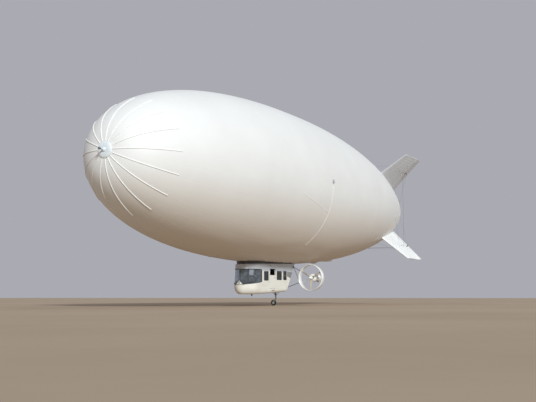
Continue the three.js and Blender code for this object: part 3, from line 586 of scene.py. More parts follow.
# A section of (across, lift) pairs carried along a path, with the lift along the given normals.
def addSweep(bm, path, normals, section, closedPath=False):
    rings = []
    count = len(path)
    for i, (point, normal) in enumerate(zip(path, normals)):
        before = path[(i - 1) % count] if closedPath or i else path[0]
        after = path[(i + 1) % count] if closedPath or i + 1 < count else path[-1]
        along = (after - before).normalized()
        side = normal.cross(along).normalized()
        up = along.cross(side).normalized()
        rings.append([point + side * across + up * lift for across, lift in section])
    addRings(bm, rings, loop=closedPath)


def roundSection(radius, sides=10):
    return [(radius * math.cos(turn), radius * math.sin(turn)) for turn in turns(sides)]


def padSection(width, height, sink=0.002):
    # a strip that lies on a surface, with soft edges
    half = width / 2
    rise = [(half * 0.6, height), (half * 0.86, height * 0.75), (half, -sink)]
    return [(-across, lift) for across, lift in reversed(rise)] + rise


def addTube(bm, path, radius, sides=10, closedPath=False):
    start = Vector((0, 0, 1))
    if abs((path[1] - path[0]).normalized().z) > 0.9:
        start = Vector((0, 1, 0))
    addSweep(bm, path, [start] * len(path), roundSection(radius, sides), closedPath)


# Smooth path through a few corner points.
def bent(corners, steps=6):
    points = [corners[0]]
    for before, corner, after in zip(corners, corners[1:], corners[2:]):
        reach = min((corner - before).length, (after - corner).length) * 0.35
        start = corner + (before - corner).normalized() * reach
        end = corner + (after - corner).normalized() * reach
        for t in between(0, 1, steps + 1):
            points.append(start.lerp(corner, t).lerp(corner.lerp(end, t), t))
    return points + [corners[-1]]


# A bar that stands off two feet by a lift.
def addHandle(bm, feet, lift, radius, sides):
    addTube(bm, bent([feet[0], feet[0] + lift, feet[1] + lift, feet[1]]), radius, sides)


def addBox(bm, low, high, bevel=0.004, turn=None):
    low, high = Vector(low), Vector(high)
    size = high - low
    place = Matrix.Translation((low + high) / 2) @ Matrix.Diagonal((*size, 1))
    if turn:
        place = turn @ place
    made = bmesh.ops.create_cube(bm, size=1, matrix=place)
    edges = list({edge for vert in made["verts"] for edge in vert.link_edges})
    width = min(bevel, min(abs(side) for side in size) * 0.35)
    bmesh.ops.bevel(bm, geom=edges, offset=width, segments=3, profile=0.6, affect="EDGES")


# Domed screw or rivet head with its face along the normal.
def addStud(bm, place, normal, radius, height=None, sides=10):
    height = height or radius * 0.6
    normal = Vector(normal).normalized()
    side = normal.orthogonal().normalized()
    other = normal.cross(side)
    rings = [
        [place + normal * lift + (side * math.cos(turn) + other * math.sin(turn)) * reach
         for turn in turns(sides)]
        for reach, lift in ((radius, -height * 0.3), (radius, height * 0.35), (radius * 0.75, height * 0.8))
    ]
    addRings(bm, rings + [[place + normal * height]])


# The frame that stands on a place with its Z along the normal.
def facing(place, normal):
    return Matrix.Translation(place) @ normal.to_track_quat("Z", "Y").to_matrix().to_4x4()


# The frame's own pieces keep their shape. They get rounded edges and smooth shading.
edgeFinish = {"weld": 0.00002, "smoothUnder": 32, "roundOver": 38, "segments": 2}  # metres, degrees


def smoothingGroup():
    group = bpy.data.node_groups.new("weldAndSmooth", "GeometryNodeTree")
    for way in ("INPUT", "OUTPUT"):
        group.interface.new_socket("Geometry", in_out=way, socket_type="NodeSocketGeometry")
    start, end, weld, angle, flat, edges, faces = (group.nodes.new(kind) for kind in (
        "NodeGroupInput", "NodeGroupOutput", "GeometryNodeMergeByDistance",
        "GeometryNodeInputMeshEdgeAngle", "FunctionNodeCompare",
        "GeometryNodeSetShadeSmooth", "GeometryNodeSetShadeSmooth",
    ))
    weld.inputs["Distance"].default_value = edgeFinish["weld"]
    flat.operation = "LESS_THAN"
    flat.inputs["B"].default_value = math.radians(edgeFinish["smoothUnder"])
    edges.domain = "EDGE"
    faces.domain = "FACE"
    for source, target in (
        (start.outputs[0], weld.inputs["Geometry"]),
        (weld.outputs["Geometry"], faces.inputs["Geometry"]),
        (faces.outputs["Geometry"], edges.inputs["Geometry"]),
        (edges.outputs["Geometry"], end.inputs[0]),
        (angle.outputs["Unsigned Angle"], flat.inputs["A"]),
        (flat.outputs["Result"], edges.inputs["Shade Smooth"]),
    ):
        group.links.new(source, target)
    return group


smoothing = smoothingGroup()


def finishNodes(material, edge, *nodes):
    for node in nodes:
        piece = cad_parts[node]
        piece.data.materials.clear()
        piece.data.materials.append(look[material])
        piece.modifiers.new("smooth", "NODES").node_group = smoothing
        if edge:
            bevel = piece.modifiers.new("edge", "BEVEL")
            bevel.width = edge
            bevel.segments = edgeFinish["segments"]
            bevel.limit_method = "ANGLE"
            bevel.angle_limit = math.radians(edgeFinish["roundOver"])
            bevel.harden_normals = True
            bevel.use_clamp_overlap = True


# Hull

hull = {
    "length": 54.85, "radius": 6.75, "widest": 22.0,
    "nosePowers": (2.44, 0.42), "tailPowers": (2.08, 0.79),
    "rings": 220, "gores": 32, "perGore": 6,
    "bulge": 0.002,  # how far each gore swells between its seams
    "crease": 0.011, "creaseFrom": 41, "creaseReach": 10, "creaseEnd": 54.2,
    "creaseWaves": 3.1, "creaseSway": 1.3,
    "fold": 0.012, "foldMiddle": 20, "foldReach": 13, "foldWaves": 20, "foldSway": 1.7,
    "foldAway": 0.52, "foldSpread": 0.26,  # radians from the bottom line
}


def hullRadius(station):
    station = min(max(station, 0.0), hull["length"])
    ahead = station < hull["widest"]
    reach = hull["widest"] if ahead else hull["length"] - hull["widest"]
    power, root = hull["nosePowers"] if ahead else hull["tailPowers"]
    return hull["radius"] * max(1 - (abs(station - hull["widest"]) / reach) ** power, 0) ** root


# Creases round the tail, where the fins pull on the cloth, and long soft folds on both sides of
# the belly, where the gondola's load curtains pull.
def hullCrease(station, turn):
    start, reach, end = hull["creaseFrom"], hull["creaseReach"], hull["creaseEnd"]
    tail = max(0.0, (station - start) / reach) * max(0.0, min(1.0, (end - station) / 3))
    betweenFins = 0.5 - 0.5 * math.cos(4 * (turn - math.pi / 4))
    sway = hull["creaseSway"] * math.sin(3 * turn)
    crease = hull["crease"] * tail * betweenFins * math.sin(station * hull["creaseWaves"] + sway)
    away = math.acos(max(-1.0, min(1.0, -math.sin(turn))))  # from the bottom line
    along = max(0.0, 1 - ((station - hull["foldMiddle"]) / hull["foldReach"]) ** 2)
    across = math.exp(-((away - hull["foldAway"]) / hull["foldSpread"]) ** 2)
    sway = hull["foldSway"] * math.sin(0.5 * station)
    return crease + hull["fold"] * along * across * math.sin(hull["foldWaves"] * away + sway)


def hullStations():
    count = hull["rings"]
    return [hull["length"] * (0.5 - 0.5 * math.cos(math.pi * i / count)) for i in range(1, count)]


# Point and outward direction on the hull. The angle is from port (0) up over the top (90).
def hullSkin(station, angle, lift=0.0):
    turn = math.radians(angle)
    step = 0.02
    slope = (hullRadius(station + step) - hullRadius(station - step)) / (2 * step)
    normal = (spoke(turn) + Vector((slope, 0, 0))).normalized()
    radius = hullRadius(station) + hullCrease(station, turn)
    place = at(station, radius * spoke(turn).y, radius * spoke(turn).z)
    return place + normal * lift * shipScale, normal


def buildHull():
    perGore = hull["perGore"]
    rings = [[at(0, 0, 0)]]
    for station in hullStations():
        radius = hullRadius(station)
        ring = []
        for i, turn in enumerate(turns(hull["gores"] * perGore)):
            gore = (i % perGore) / perGore
            swell = hull["bulge"] * (4 * gore * (1 - gore) - 1) * min(1, radius / 3)
            reach = radius + swell + hullCrease(station, turn)
            ring.append(at(station, reach * math.cos(turn), reach * math.sin(turn)))
        rings.append(ring)
    rings.append([at(hull["length"], 0, 0)])
    bm = bmesh.new()
    addRings(bm, rings)
    makePiece(bm, "hullSkin", "hull", replaces=["envelope"], crease=60)


# Strip of cloth along a path of (station, angle) points on the hull.
def addHullStrip(bm, points, width=0, height=0, section=None):
    path, normals = zip(*(hullSkin(station, angle) for station, angle in points))
    addSweep(bm, path, normals, section or padSection(width * shipScale, height * shipScale))


seams = {"width": 0.04, "height": 0.0005, "first": 3.2, "last": 53.4}
sleeves = {
    # on the flanks, from the valve down and forward from its middle: (station, degrees above the beam)
    "lines": [
        [(21.75, -3), (21.8, -10), (21.85, -18), (21.85, -26), (21.8, -34), (21.7, -43), (21.55, -52)],
        [(16.6, -13.5), (18.0, -16), (19.4, -18.4), (20.6, -20.6), (21.7, -22.6)],
    ],
    "width": 0.06, "height": 0.014,
}


def buildSeams():
    bm = bmesh.new()
    stations = [station for station in hullStations() if seams["first"] < station < seams["last"]]
    for i in range(hull["gores"]):
        line = [(station, 360 * i / hull["gores"]) for station in stations]
        addHullStrip(bm, line, seams["width"], seams["height"])
    makePiece(bm, "hullSeamTapes", "hull", crease=70)


def smoothLine(corners, steps=8):
    # Catmull-Rom through (station, angle) pairs
    def eased(p, q, r, s, t):
        bend, twist = 2 * p - 5 * q + 4 * r - s, 3 * q - p - 3 * r + s
        return 0.5 * (2 * q + (r - p) * t + bend * t ** 2 + twist * t ** 3)

    ends = [corners[0], *corners, corners[-1]]
    points = []
    for four in zip(ends, ends[1:], ends[2:], ends[3:]):
        points += [tuple(eased(*values, i / steps) for values in zip(*four)) for i in range(steps)]
    return points + [corners[-1]]


def buildSleeves():
    for place, side in mirrored.items():
        bm = bmesh.new()
        for line in sleeves["lines"]:
            points = [(station, angle if side > 0 else 180 - angle) for station, angle in smoothLine(line)]
            addHullStrip(bm, points, sleeves["width"], sleeves["height"])
        makePiece(bm, "hullSleeve" + place, "sleeve")


# Nose

nose = {
    "battens": 16, "inner": 0.62, "end": 3.05, "width": 0.068, "height": 0.042,
    "pointRadius": 0.055, "pointHeight": 0.03,  # where a sleeve's end is sewn down
    "collar": 0.7, "collarRear": 0.3, "dishRadius": 0.58, "dishFront": -0.1, "bolts": 0.84,
}


def noseStation(radius):
    power, root = hull["nosePowers"]
    fall = 1 - (radius / hull["radius"]) ** (1 / root)
    return hull["widest"] * (1 - max(fall, 0) ** (1 / power))


def buildNose():
    half, height = nose["width"] / 2 * shipScale, nose["height"] * shipScale
    foot = [(half * 1.25, -0.004), (half * 1.08, height * 0.12)]
    dome = [(half * math.cos(turn), height * (0.15 + 0.85 * math.sin(turn)))
            for turn in between(0, math.pi, 9)]
    section = foot + dome + [(-across, lift) for across, lift in reversed(foot)]
    stations = [noseStation(radius) for radius in between(nose["inner"], hullRadius(nose["end"]), 40)]
    bm = bmesh.new()
    for i in range(nose["battens"]):
        angle = 360 * i / nose["battens"]
        addHullStrip(bm, [(station, angle) for station in stations], section=section)
        place, normal = hullSkin(stations[-1], angle)
        addStud(bm, place, normal, nose["pointRadius"] * shipScale, nose["pointHeight"] * shipScale, 16)
    # the collar that the sleeves start from
    front, rear = xAt(noseStation(nose["collar"]) - 0.012), xAt(nose["collarRear"])
    collar = [(rear, 0.3), (front, 0.3), (front + 0.004, 0.315), (front - 0.002, 0.345), (rear, 0.35)]
    addTurned(bm, collar, sides=96, loop=True)
    makePiece(bm, "noseBattenSleeves", "sleeve", replaces=["nose_battens"])

    bm = bmesh.new()
    x = xAt(nose["dishFront"])
    rim = nose["dishRadius"] * shipScale
    addTurned(bm, [
        (x, 0), (x, 0.1), (x + 0.004, 0.115), (x + 0.001, 0.15), (x - 0.006, rim * 0.72),
        (x - 0.02, rim * 0.93), (x - 0.034, rim * 0.985), (x - 0.06, rim), (x - 0.11, rim * 0.985),
        (x - 0.12, rim * 0.8), (x - 0.12, 0),
    ], sides=96)
    for radial in spokes(nose["battens"]):
        addStud(bm, Vector((x - 0.012, 0, 0)) + radial * rim * nose["bolts"], (1, 0, 0), 0.006)
    makePiece(bm, "noseDish", "nose", replaces=["nose_dish"])
    finishNodes("spindle", 0.003, "mooring_spindle")


# Tail. A fin is drawn in its own plane: x along the hull, y out from the axis, z through it.

fins = {
    "places": {"port_upper": 45, "port_lower": -45, "starboard_upper": 135, "starboard_lower": -135},
    "root": {"out": 3.2, "leading": 40.13, "thickness": 0.32, "rudderNose": 0.095},
    "tip": {"out": 7.85, "leading": 43.33, "thickness": 0.2, "rudderNose": 0.065},
    "hinge": 46.75, "trailing": 48.12, "tipSlant": 0.11, "gap": 0.016,
    # share of the chord, share of the fin's half thickness
    "profile": [(0, 0.06), (0.03, 0.5), (0.12, 0.85), (0.35, 1), (0.7, 0.85), (1, 0.58)],
    # tapes over the ribs, through these shares of the chord, and along the spars
    "ribs": 13, "ribsFrom": 3.75,
    "ribCorners": [0.015, 0.03, 0.075, 0.12, 0.235, 0.35, 0.525, 0.7, 0.85, 0.985],
    "spars": (0.12, 0.7, 0.95), "sparsFrom": 3.5, "sparTape": 1.4,
    "tape": 0.05, "tapeHeight": 0.004, "rudderEnd": 0.07,
}


def finShare(out):
    return (out - fins["root"]["out"]) / (fins["tip"]["out"] - fins["root"]["out"])


def finMix(key, out):
    return mix(fins["root"][key], fins["tip"][key], finShare(out))


# Station and half thickness of the fin at a share of its chord.
def finSurface(out, back):
    trailing = fins["hinge"] - finMix("rudderNose", out) - fins["gap"]
    for (backA, halfA), (backB, halfB) in zip(fins["profile"], fins["profile"][1:]):
        if back <= backB:
            half = halfA + (halfB - halfA) * (back - backA) / (backB - backA)
            break
    return mix(finMix("leading", out), trailing, back), half * finMix("thickness", out) / 2


def finPlane(angle):
    return Matrix.Rotation(math.radians(angle), 4, "X")


def inPlane(plane, station, out, through):
    return plane @ at(station, out, through)


def squareTo(plane, side):
    return plane.to_3x3() @ Vector((0, 0, side))


def addTape(bm, plane, line, side, wider=1):
    path = [inPlane(plane, station, out, side * through) for station, out, through in line]
    section = padSection(fins["tape"] * wider * shipScale, fins["tapeHeight"] * shipScale, 0.0015)
    addSweep(bm, path, [squareTo(plane, side).normalized()] * len(path), section)


def buildTail():
    tip = fins["tip"]["out"]
    for place, angle in fins["places"].items():
        plane = finPlane(angle)
        finishNodes("fin", 0.006, "fin_" + place)
        finishNodes("fin", 0.004, "rudder_" + place)
        bm, rudder = bmesh.new(), bmesh.new()
        for out in between(fins["ribsFrom"], tip - 0.06, fins["ribs"]):
            rib = [finSurface(out, back) for back in fins["ribCorners"]]
            line = [(station, out, through) for station, through in rib if hullRadius(station) < out - 0.05]
            thick = finMix("rudderNose", out)
            end = fins["trailing"] + fins["tipSlant"] * finShare(out) - fins["rudderEnd"]
            rudderLine = [(fins["hinge"] + 0.02, out, thick), (end, out, thick + (0.008 - thick) * 0.95)]
            for side in (1, -1):
                if len(line) > 2:
                    addTape(bm, plane, line, side)
                if hullRadius(fins["hinge"] + 0.2) < out - 0.12:
                    addTape(rudder, plane, rudderLine, side)
        for back in fins["spars"]:
            spar = [(out, *finSurface(out, back)) for out in between(fins["sparsFrom"], tip - 0.03, 30)]
            line = [(station, out, through) for out, station, through in spar
                    if hullRadius(station) < out - 0.03]
            for side in (1, -1):
                addTape(bm, plane, line, side, fins["sparTape"])
        makePiece(bm, "finTapes." + place, "fin")
        makePiece(rudder, "rudderTapes." + place, "fin", "rudder_" + place)
        buildHorn(place, plane)
    buildFinRoots()


horn = {
    "out": 5.9, "half": 0.0155,
    # distances behind the hinge, and through the fin
    "outline": [(0.06, -0.05), (0.06, 0.05), (0.147, 0.343), (0.233, 0.343),
                (0.43, 0.05), (0.43, -0.05), (0.233, -0.343), (0.147, -0.343)],
    "lineAt": (0.19, 0.33), "bolts": (0.3, -0.23, -0.3, 0.12), "blend": (-0.25, 0.1),
    "fairlead": (45.1, 0.14), "lineRadius": 0.005,
    "shackle": (0.12, 0.11, 0.04, 0.03), "shackleRadius": 0.007,
}


# Steel plate over the rudder's horn, and the control lines that run from it to the fin.
def buildHorn(place, plane):
    hinge, out, half = fins["hinge"], horn["out"], horn["half"]
    bm = bmesh.new()
    addRings(bm, [
        [inPlane(plane, hinge + back, level, through) for back, through in horn["outline"]]
        for level in (out - half, out + half)
    ])
    back, reach = horn["lineAt"]
    for through in horn["bolts"]:
        for side in (1, -1):
            spot = inPlane(plane, hinge + back, out + side * half, through)
            addStud(bm, spot, plane.to_3x3() @ Vector((0, side, 0)), 0.007)
    makePiece(bm, "rudderHorn." + place, "steel", "rudder_" + place)

    bm = bmesh.new()
    station, through = horn["fairlead"]
    for side in (1, -1):
        start = inPlane(plane, station, out, side * through)
        end = inPlane(plane, hinge + back, out, side * reach)
        path = [start.lerp(end, t) for t in between(0, 1, 15)]
        addTube(bm, path, horn["lineRadius"] * shipScale, 8)
        along = (end - start).normalized()
        addTube(bm, [end - along * step for step in horn["shackle"]], horn["shackleRadius"], 8)
    lines = makePiece(bm, "controlLines." + place, "cable", None)
    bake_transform(lines)

    bm = bmesh.new()
    for side in (1, -1):
        spot = inPlane(plane, station, out, side * (finSurface(out, 0.8)[1] - 0.004))
        outward = squareTo(plane, side)
        addStud(bm, spot, outward, 0.03, 0.018, 16)
        addStud(bm, spot + outward * 0.016, outward, 0.012, 0.012, 12)
    makePiece(bm, "fairleads." + place, "abs")


finRoots = {
    "first": 40.9, "last": 46.5, "off": 0.16, "width": 0.42, "height": 0.012,
    "gussetFirst": 38.6, "gussetLast": 41.6, "gussetWidth": 0.5,
}


def buildFinRoots():
    bm = bmesh.new()
    for angle in fins["places"].values():
        for side in (1, -1):
            line = []
            for station in between(finRoots["first"], finRoots["last"], 24):
                radius = hullRadius(station)
                leading = finMix("leading", radius)
                back = (station - leading) / (fins["hinge"] - 0.15 - leading)
                half = finSurface(radius, min(max(back, 0), 1))[1] if back > 0 else 0.02
                line.append((station, angle + side * math.degrees((half + finRoots["off"]) / radius)))
            addHullStrip(bm, line, finRoots["width"], finRoots["height"])
        # the gusset ahead of the leading edge
        gusset = between(finRoots["gussetFirst"], finRoots["gussetLast"], 16)
        line = [(station, angle) for station in gusset]
        addHullStrip(bm, line, finRoots["gussetWidth"], finRoots["height"])
    makePiece(bm, "finRootPatches", "sleeve")


rigging = {
    # wires from a fin to a patch on the hull: fin station, fin out, hull station, degrees off the fin
    "finWires": [(43.9, 6.3, 42.9, 31), (46.0, 6.9, 46.6, 35)],
    "radius": 0.006, "patch": 0.17, "patchLift": 0.03, "turnbuckle": (0.1, 0.19),
}


def buildRigging():
    bm, patches = bmesh.new(), bmesh.new()
    radius, lift = rigging["radius"] * shipScale, rigging["patchLift"]
    for angle in fins["places"].values():
        plane = finPlane(angle)
        for station, out, hullStation, away in rigging["finWires"]:
            for side in (1, -1):
                start = inPlane(plane, station, out, side * finSurface(out, 0.5)[1])
                end, normal = hullSkin(hullStation, angle + side * away, lift)
                addTube(bm, [start, end], radius, 8)
                addStud(patches, start, squareTo(plane, side), 0.014, 0.01)
                along = (start - end).normalized()
                addTube(bm, [end + along * step for step in rigging["turnbuckle"]], radius * 2.4, 8)
                patch = end - normal * lift * shipScale
                addStud(patches, patch, normal, rigging["patch"] * shipScale, 0.01, 24)
    makePiece(bm, "finWires", "cable")
    makePiece(patches, "finWirePatches", "sleeve")
    finishNodes("cable", 0, *("fin_stay_" + place for place in ("top", "port", "bottom", "starboard")))


# Gondola

cabin = {
    "nose": 17.56, "noseLength": 1.54, "halfWidth": 1.05, "lean": 0.11, "leanFrom": -8.5,
    "roofFront": -6.96, "roofSlope": 0.0325,
    # openings: first station, last station, bottom, top
    "windows": {
        "front": (19.94, 20.70, -8.28, -7.52), "middle": (22.24, 23.13, -8.19, -7.46),
        "rear": (23.46, 24.05, -8.18, -7.43),
    },
    "door": (20.90, 22.04, -8.94, -7.13), "doorWindow": (21.01, 21.92, -7.80, -7.29),
    "screen": {"rear": 19.5, "top": -7.37, "bottomRear": -8.42, "bottomFront": -8.665, "post": 0.045,
               "curveMiddle": 19.3, "straightFrom": 19.1},
    "seal": 0.009,
}


def roofHeight(station):
    return cabin["roofFront"] + cabin["roofSlope"] * (station - cabin["nose"])


# What a line from outside can be cast at.
def surfaceOf(*meshes):
    verts, faces = [], []
    for mesh in meshes:
        base = len(verts)
        verts += [vert.co.copy() for vert in mesh.vertices]
        faces += [[base + i for i in polygon.vertices] for polygon in mesh.polygons]
    return BVHTree.FromPolygons(verts, faces)


cabinSurface = surfaceOf(*(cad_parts[node].data for node in (
    "cabin_tub", "cabin_side_port", "cabin_side_starboard", "windscreen_frame", "cabin_roof",
    "cabin_bulkhead", "cabin_door_port", "cabin_door_starboard",
)))


# Where a line from outside first meets a surface.
def onSurface(tree, place, inward, reach=0.6):
    inward = Vector(inward).normalized()
    hit, normal, _, _ = tree.ray_cast(place - inward * reach, inward)
    return (hit, normal) if hit else (None, None)


def onSide(side, station, height):
    return onSurface(cabinSurface, at(station, side * cabin["halfWidth"], height), (0, -side, 0))


# Point on the gondola's rounded front, by the turn away from its middle.
def onNoseWall(turn, height, lift=0.0):
    station = cabin["nose"] + cabin["noseLength"] * (1 - math.cos(turn))
    station += cabin["lean"] * (height - cabin["leanFrom"])
    outward = Vector((math.cos(turn), math.sin(turn), 0))
    return at(station, cabin["halfWidth"] * math.sin(turn), height) + outward * lift


def roundedWindow(window, grow, radius=0.07, steps=5):
    first, last, bottom, top = window
    first, last, bottom, top = first - grow, last + grow, bottom - grow, top + grow
    corners = [(first, bottom), (first, top), (last, top), (last, bottom)]
    points = []
    for i, corner in enumerate(corners):
        before, after = corners[i - 1], corners[(i + 1) % 4]
        for t in between(0, 1, steps + 1):
            pair = []
            for axis, value in enumerate(corner):
                start = value + math.copysign(radius, before[axis] - value) * (before[axis] != value)
                end = value + math.copysign(radius, after[axis] - value) * (after[axis] != value)
                pair.append((1 - t) ** 2 * start + 2 * t * (1 - t) * value + t ** 2 * end)
            points.append(tuple(pair))
    return points


def addSideSeal(bm, side, window, grow):
    wall = cabin["halfWidth"] + 0.002
    path = [at(station, side * wall, height) for station, height in roundedWindow(window, grow)]
    width = cabin["seal"] * shipScale * 1.6
    section = padSection(width * 2, width, 0.001)
    addSweep(bm, path, [Vector((0, side, 0))] * len(path), section, closedPath=True)


def screenOutline(side):
    screen = cabin["screen"]
    rear, top, bottom, half = screen["rear"], screen["top"], screen["bottomRear"], cabin["halfWidth"]

    def foot(turn):
        station = cabin["nose"] + cabin["noseLength"] * (1 - math.cos(turn))
        share = (station - cabin["nose"] + 0.1) / (rear - cabin["nose"] + 0.1)
        return mix(screen["bottomFront"], bottom, share)

    inset = between(math.asin(screen["post"] / half), math.pi / 2, 16)
    corners = [(rear - 0.05, top), (rear, top - 0.05), (rear, bottom + 0.05), (rear - 0.05, bottom)]
    return (
        [onNoseWall(side * turn, top) for turn in inset]
        + [at(station, side * half, height) for station, height in corners]
        + [onNoseWall(side * turn, foot(turn)) for turn in reversed(inset)]
    )


def addScreenSeal(bm, side):
    outline = screenOutline(side)
    middle, straightFrom = (xAt(cabin["screen"][key]) for key in ("curveMiddle", "straightFrom"))
    normals = [
        Vector((0, side, 0)) if point.x < straightFrom
        else Vector((point.x - middle, point.y, 0)).normalized()
        for point in outline
    ]
    width = cabin["seal"] * shipScale * 2.2
    addSweep(bm, outline, normals, padSection(width * 2, width * 0.8, 0.002), closedPath=True)


def buildGondola():
    finishNodes("enamel", 0.003, "cabin_roof", "cabin_door_port", "cabin_door_starboard", "cabin_tub",
                "cabin_bulkhead")
    finishNodes("screen", 0.003, "windscreen_frame")
    # the side walls stay sharp: rounding breaks the long faces round their windows
    finishNodes("enamel", 0, "cabin_side_port", "cabin_side_starboard")
    finishNodes("steel", 0.004, "suspension_saddle")
    finishNodes("abs", 0.002, "belly_light")
    finishNodes("carpet", 0, "cabin_floor")
    for place, side in mirrored.items():
        low = place.lower()
        finishNodes("acrylic", 0, "windscreen_" + low)
        finishNodes("smoked", 0, *(f"window_{window}_{low}" for window in cabin["windows"]))
        bm = bmesh.new()
        for window in cabin["windows"].values():
            addSideSeal(bm, side, window, 0.006)
        addScreenSeal(bm, side)
        makePiece(bm, "windowSeals" + place, "seal")
        bm = bmesh.new()
        addSideSeal(bm, side, cabin["doorWindow"], 0.004)
        makePiece(bm, "doorSeal" + place, "seal", "door_" + low)


# Engines, drawn round the propeller's axis

engines = {
    "out": 2.4, "height": -7.95, "ringFront": 26.08, "ringRear": 26.62, "ringInner": 1.115,
    "ringOuter": 1.2, "propeller": 26.27, "cowlFront": 26.44, "ringBolts": 24,
    # share of the ring's depth, share of its thickness
    "ring": [(0, 0.5), (0.03, 0.24), (0.12, 0.06), (0.3, 0), (0.5, 0.01), (0.8, 0.12), (1, 0.2),
             (1, 0.4), (0.8, 0.62), (0.55, 0.88), (0.35, 1), (0.2, 0.99), (0.12, 0.93), (0.04, 0.74)],
    "vanes": (30, 150, 200, 340), "vaneRoot": 0.171, "vaneHalf": 0.006,
    "bandFrom": 0.19, "bandTo": 0.3,  # the band that the vanes stand on, behind the cowl's front
    "bandRadii": (0.1605, 0.174, 0.1755, 0.1635),
    # distance behind the cowl's front, radius
    "cowl": [(0, 0.205), (0.012, 0.235), (0.04, 0.268), (0.18, 0.318), (0.45, 0.329), (0.7, 0.33),
             (1.0, 0.322), (1.34, 0.3), (1.52, 0.262), (1.64, 0.205), (1.72, 0.158), (1.76, 0.13)],
    "cowlSeams": [(0.62, 0.3305), (1.33, 0.301)], "fasteners": 16, "wall": 0.012,
    "louvreTurns": (38, 142), "louvres": 5, "louvreFrom": 0.74, "louvreStep": 0.09,
    "louvreRadius": 0.327, "louvreLift": [0.0, 0.004, 0.006, 0.006, 0.006, 0.004, 0.0],
    "exhaustTurns": (-60, -120),
    # ahead of the hub, radius, in model metres
    "spinner": [(0.13, 0), (0.127, 0.014), (0.118, 0.029), (0.1, 0.046), (0.075, 0.062),
                (0.045, 0.075), (0.012, 0.083), (-0.02, 0.0855), (-0.05, 0.0855), (-0.055, 0.082),
                (-0.055, 0.0168), (-0.01, 0.0168), (-0.01, 0)],
    # out along the blade, chord, thickness, pitch in degrees
    "blades": [(0.12, 0.11, 0.062, 52), (0.25, 0.13, 0.046, 44), (0.38, 0.17, 0.034, 38),
               (0.55, 0.178, 0.027, 31), (0.72, 0.165, 0.021, 27), (0.88, 0.14, 0.017, 23),
               (1.0, 0.1, 0.012, 21), (1.06, 0.06, 0.009, 20), (1.08, 0.02, 0.006, 20)],
    "bladeTurns": (0, 120, 240), "restTurn": 57, "swell": 0.35, "camber": 0.12,
    "spinnerBolts": 12, "spinnerBoltsAt": (0.038, 0.0853),  # behind the hub, radius
}


def aboutAxis(y, z, degrees):
    return Matrix.Translation((0, y, z)) @ Matrix.Rotation(math.radians(degrees), 4, "X")


def buildFanRing(place, y, z):
    front, rear = xAt(engines["ringFront"]), xAt(engines["ringRear"])
    inner, outer = engines["ringInner"] * shipScale, engines["ringOuter"] * shipScale
    bm = bmesh.new()
    outline = [(mix(front, rear, back), mix(inner, outer, share)) for back, share in engines["ring"]]
    addTurned(bm, outline, y, z, sides=128, loop=True)
    ahead, behind = (xAt(engines["cowlFront"] + engines[key]) for key in ("bandFrom", "bandTo"))
    band = zip((ahead, ahead, behind, behind), engines["bandRadii"])
    addTurned(bm, band, y, z, loop=True)
    for angle in engines["vanes"]:
        turned = aboutAxis(y, z, angle - 90)
        rings = []
        for reach, start, end in ((engines["vaneRoot"], ahead - 0.002, behind + 0.002),
                                  (inner + 0.006, rear + 0.07, rear + 0.008)):
            middle, half = (start + end) / 2, (start - end) / 2
            rings.append([
                turned @ Vector((middle + half * math.cos(t), engines["vaneHalf"] * math.sin(t), reach))
                for t in turns(14)
            ])
        addRings(bm, rings)
    for radial in spokes(engines["ringBolts"], 0.5):
        spot = Vector((front - 0.11, y, z)) + radial * (outer - 0.0022)
        addStud(bm, spot, radial, 0.006, 0.004)
    makePiece(bm, "fanRing." + place, "gelcoat", replaces=["shroud_" + place])


def addLouvre(bm, middle, radial):
    tangent = Vector((0, -radial.z, radial.y))
    path = [middle + tangent * t for t in between(-0.045, 0.045, 7)]
    path = [point + radial * (lift - 0.35 * (point - middle).length ** 2 / 0.165)
            for point, lift in zip(path, engines["louvreLift"])]
    addSweep(bm, path, [radial] * 7, [(-0.014, -0.004), (-0.006, 0.006), (0.004, 0.007), (0.012, -0.004)])


def buildCowl(place, y, z):
    front = xAt(engines["cowlFront"])
    bm = bmesh.new()
    outside = [(front - back * shipScale, radius * shipScale) for back, radius in engines["cowl"]]
    inside = [(x, radius - engines["wall"]) for x, radius in reversed(outside)]
    addTurned(bm, outside + inside, y, z, loop=True)
    for back, radius in engines["cowlSeams"]:
        x, reach = front - back * shipScale, radius * shipScale
        addTurned(bm, [(x + 0.008, reach - 0.004), (x + 0.006, reach + 0.0022),
                       (x - 0.006, reach + 0.0022), (x - 0.008, reach - 0.004)], y, z, loop=True)
        for radial in spokes(engines["fasteners"], 0.5):
            addStud(bm, Vector((x, y, z)) + radial * (reach + 0.002), radial, 0.0035)
    for degrees in engines["louvreTurns"]:
        radial = spoke(math.radians(degrees))
        for step in range(engines["louvres"]):
            x = front - (engines["louvreFrom"] + step * engines["louvreStep"]) * shipScale
            addLouvre(bm, Vector((x, y, z)) + radial * (engines["louvreRadius"] * shipScale), radial)
    makePiece(bm, "engineCowl." + place, "gelcoat", replaces=["engine_cowl_" + place])

    bm = bmesh.new()
    for degrees in engines["exhaustTurns"]:
        radial = spoke(math.radians(degrees))
        start = Vector((front - 0.42, y, z)) + radial * 0.15
        path = bent([start, start + radial * 0.05, start + radial * 0.06 + Vector((-0.09, 0, 0))])
        addTube(bm, path, 0.017, 16)
    makePiece(bm, "exhaustStubs." + place, "alloy")


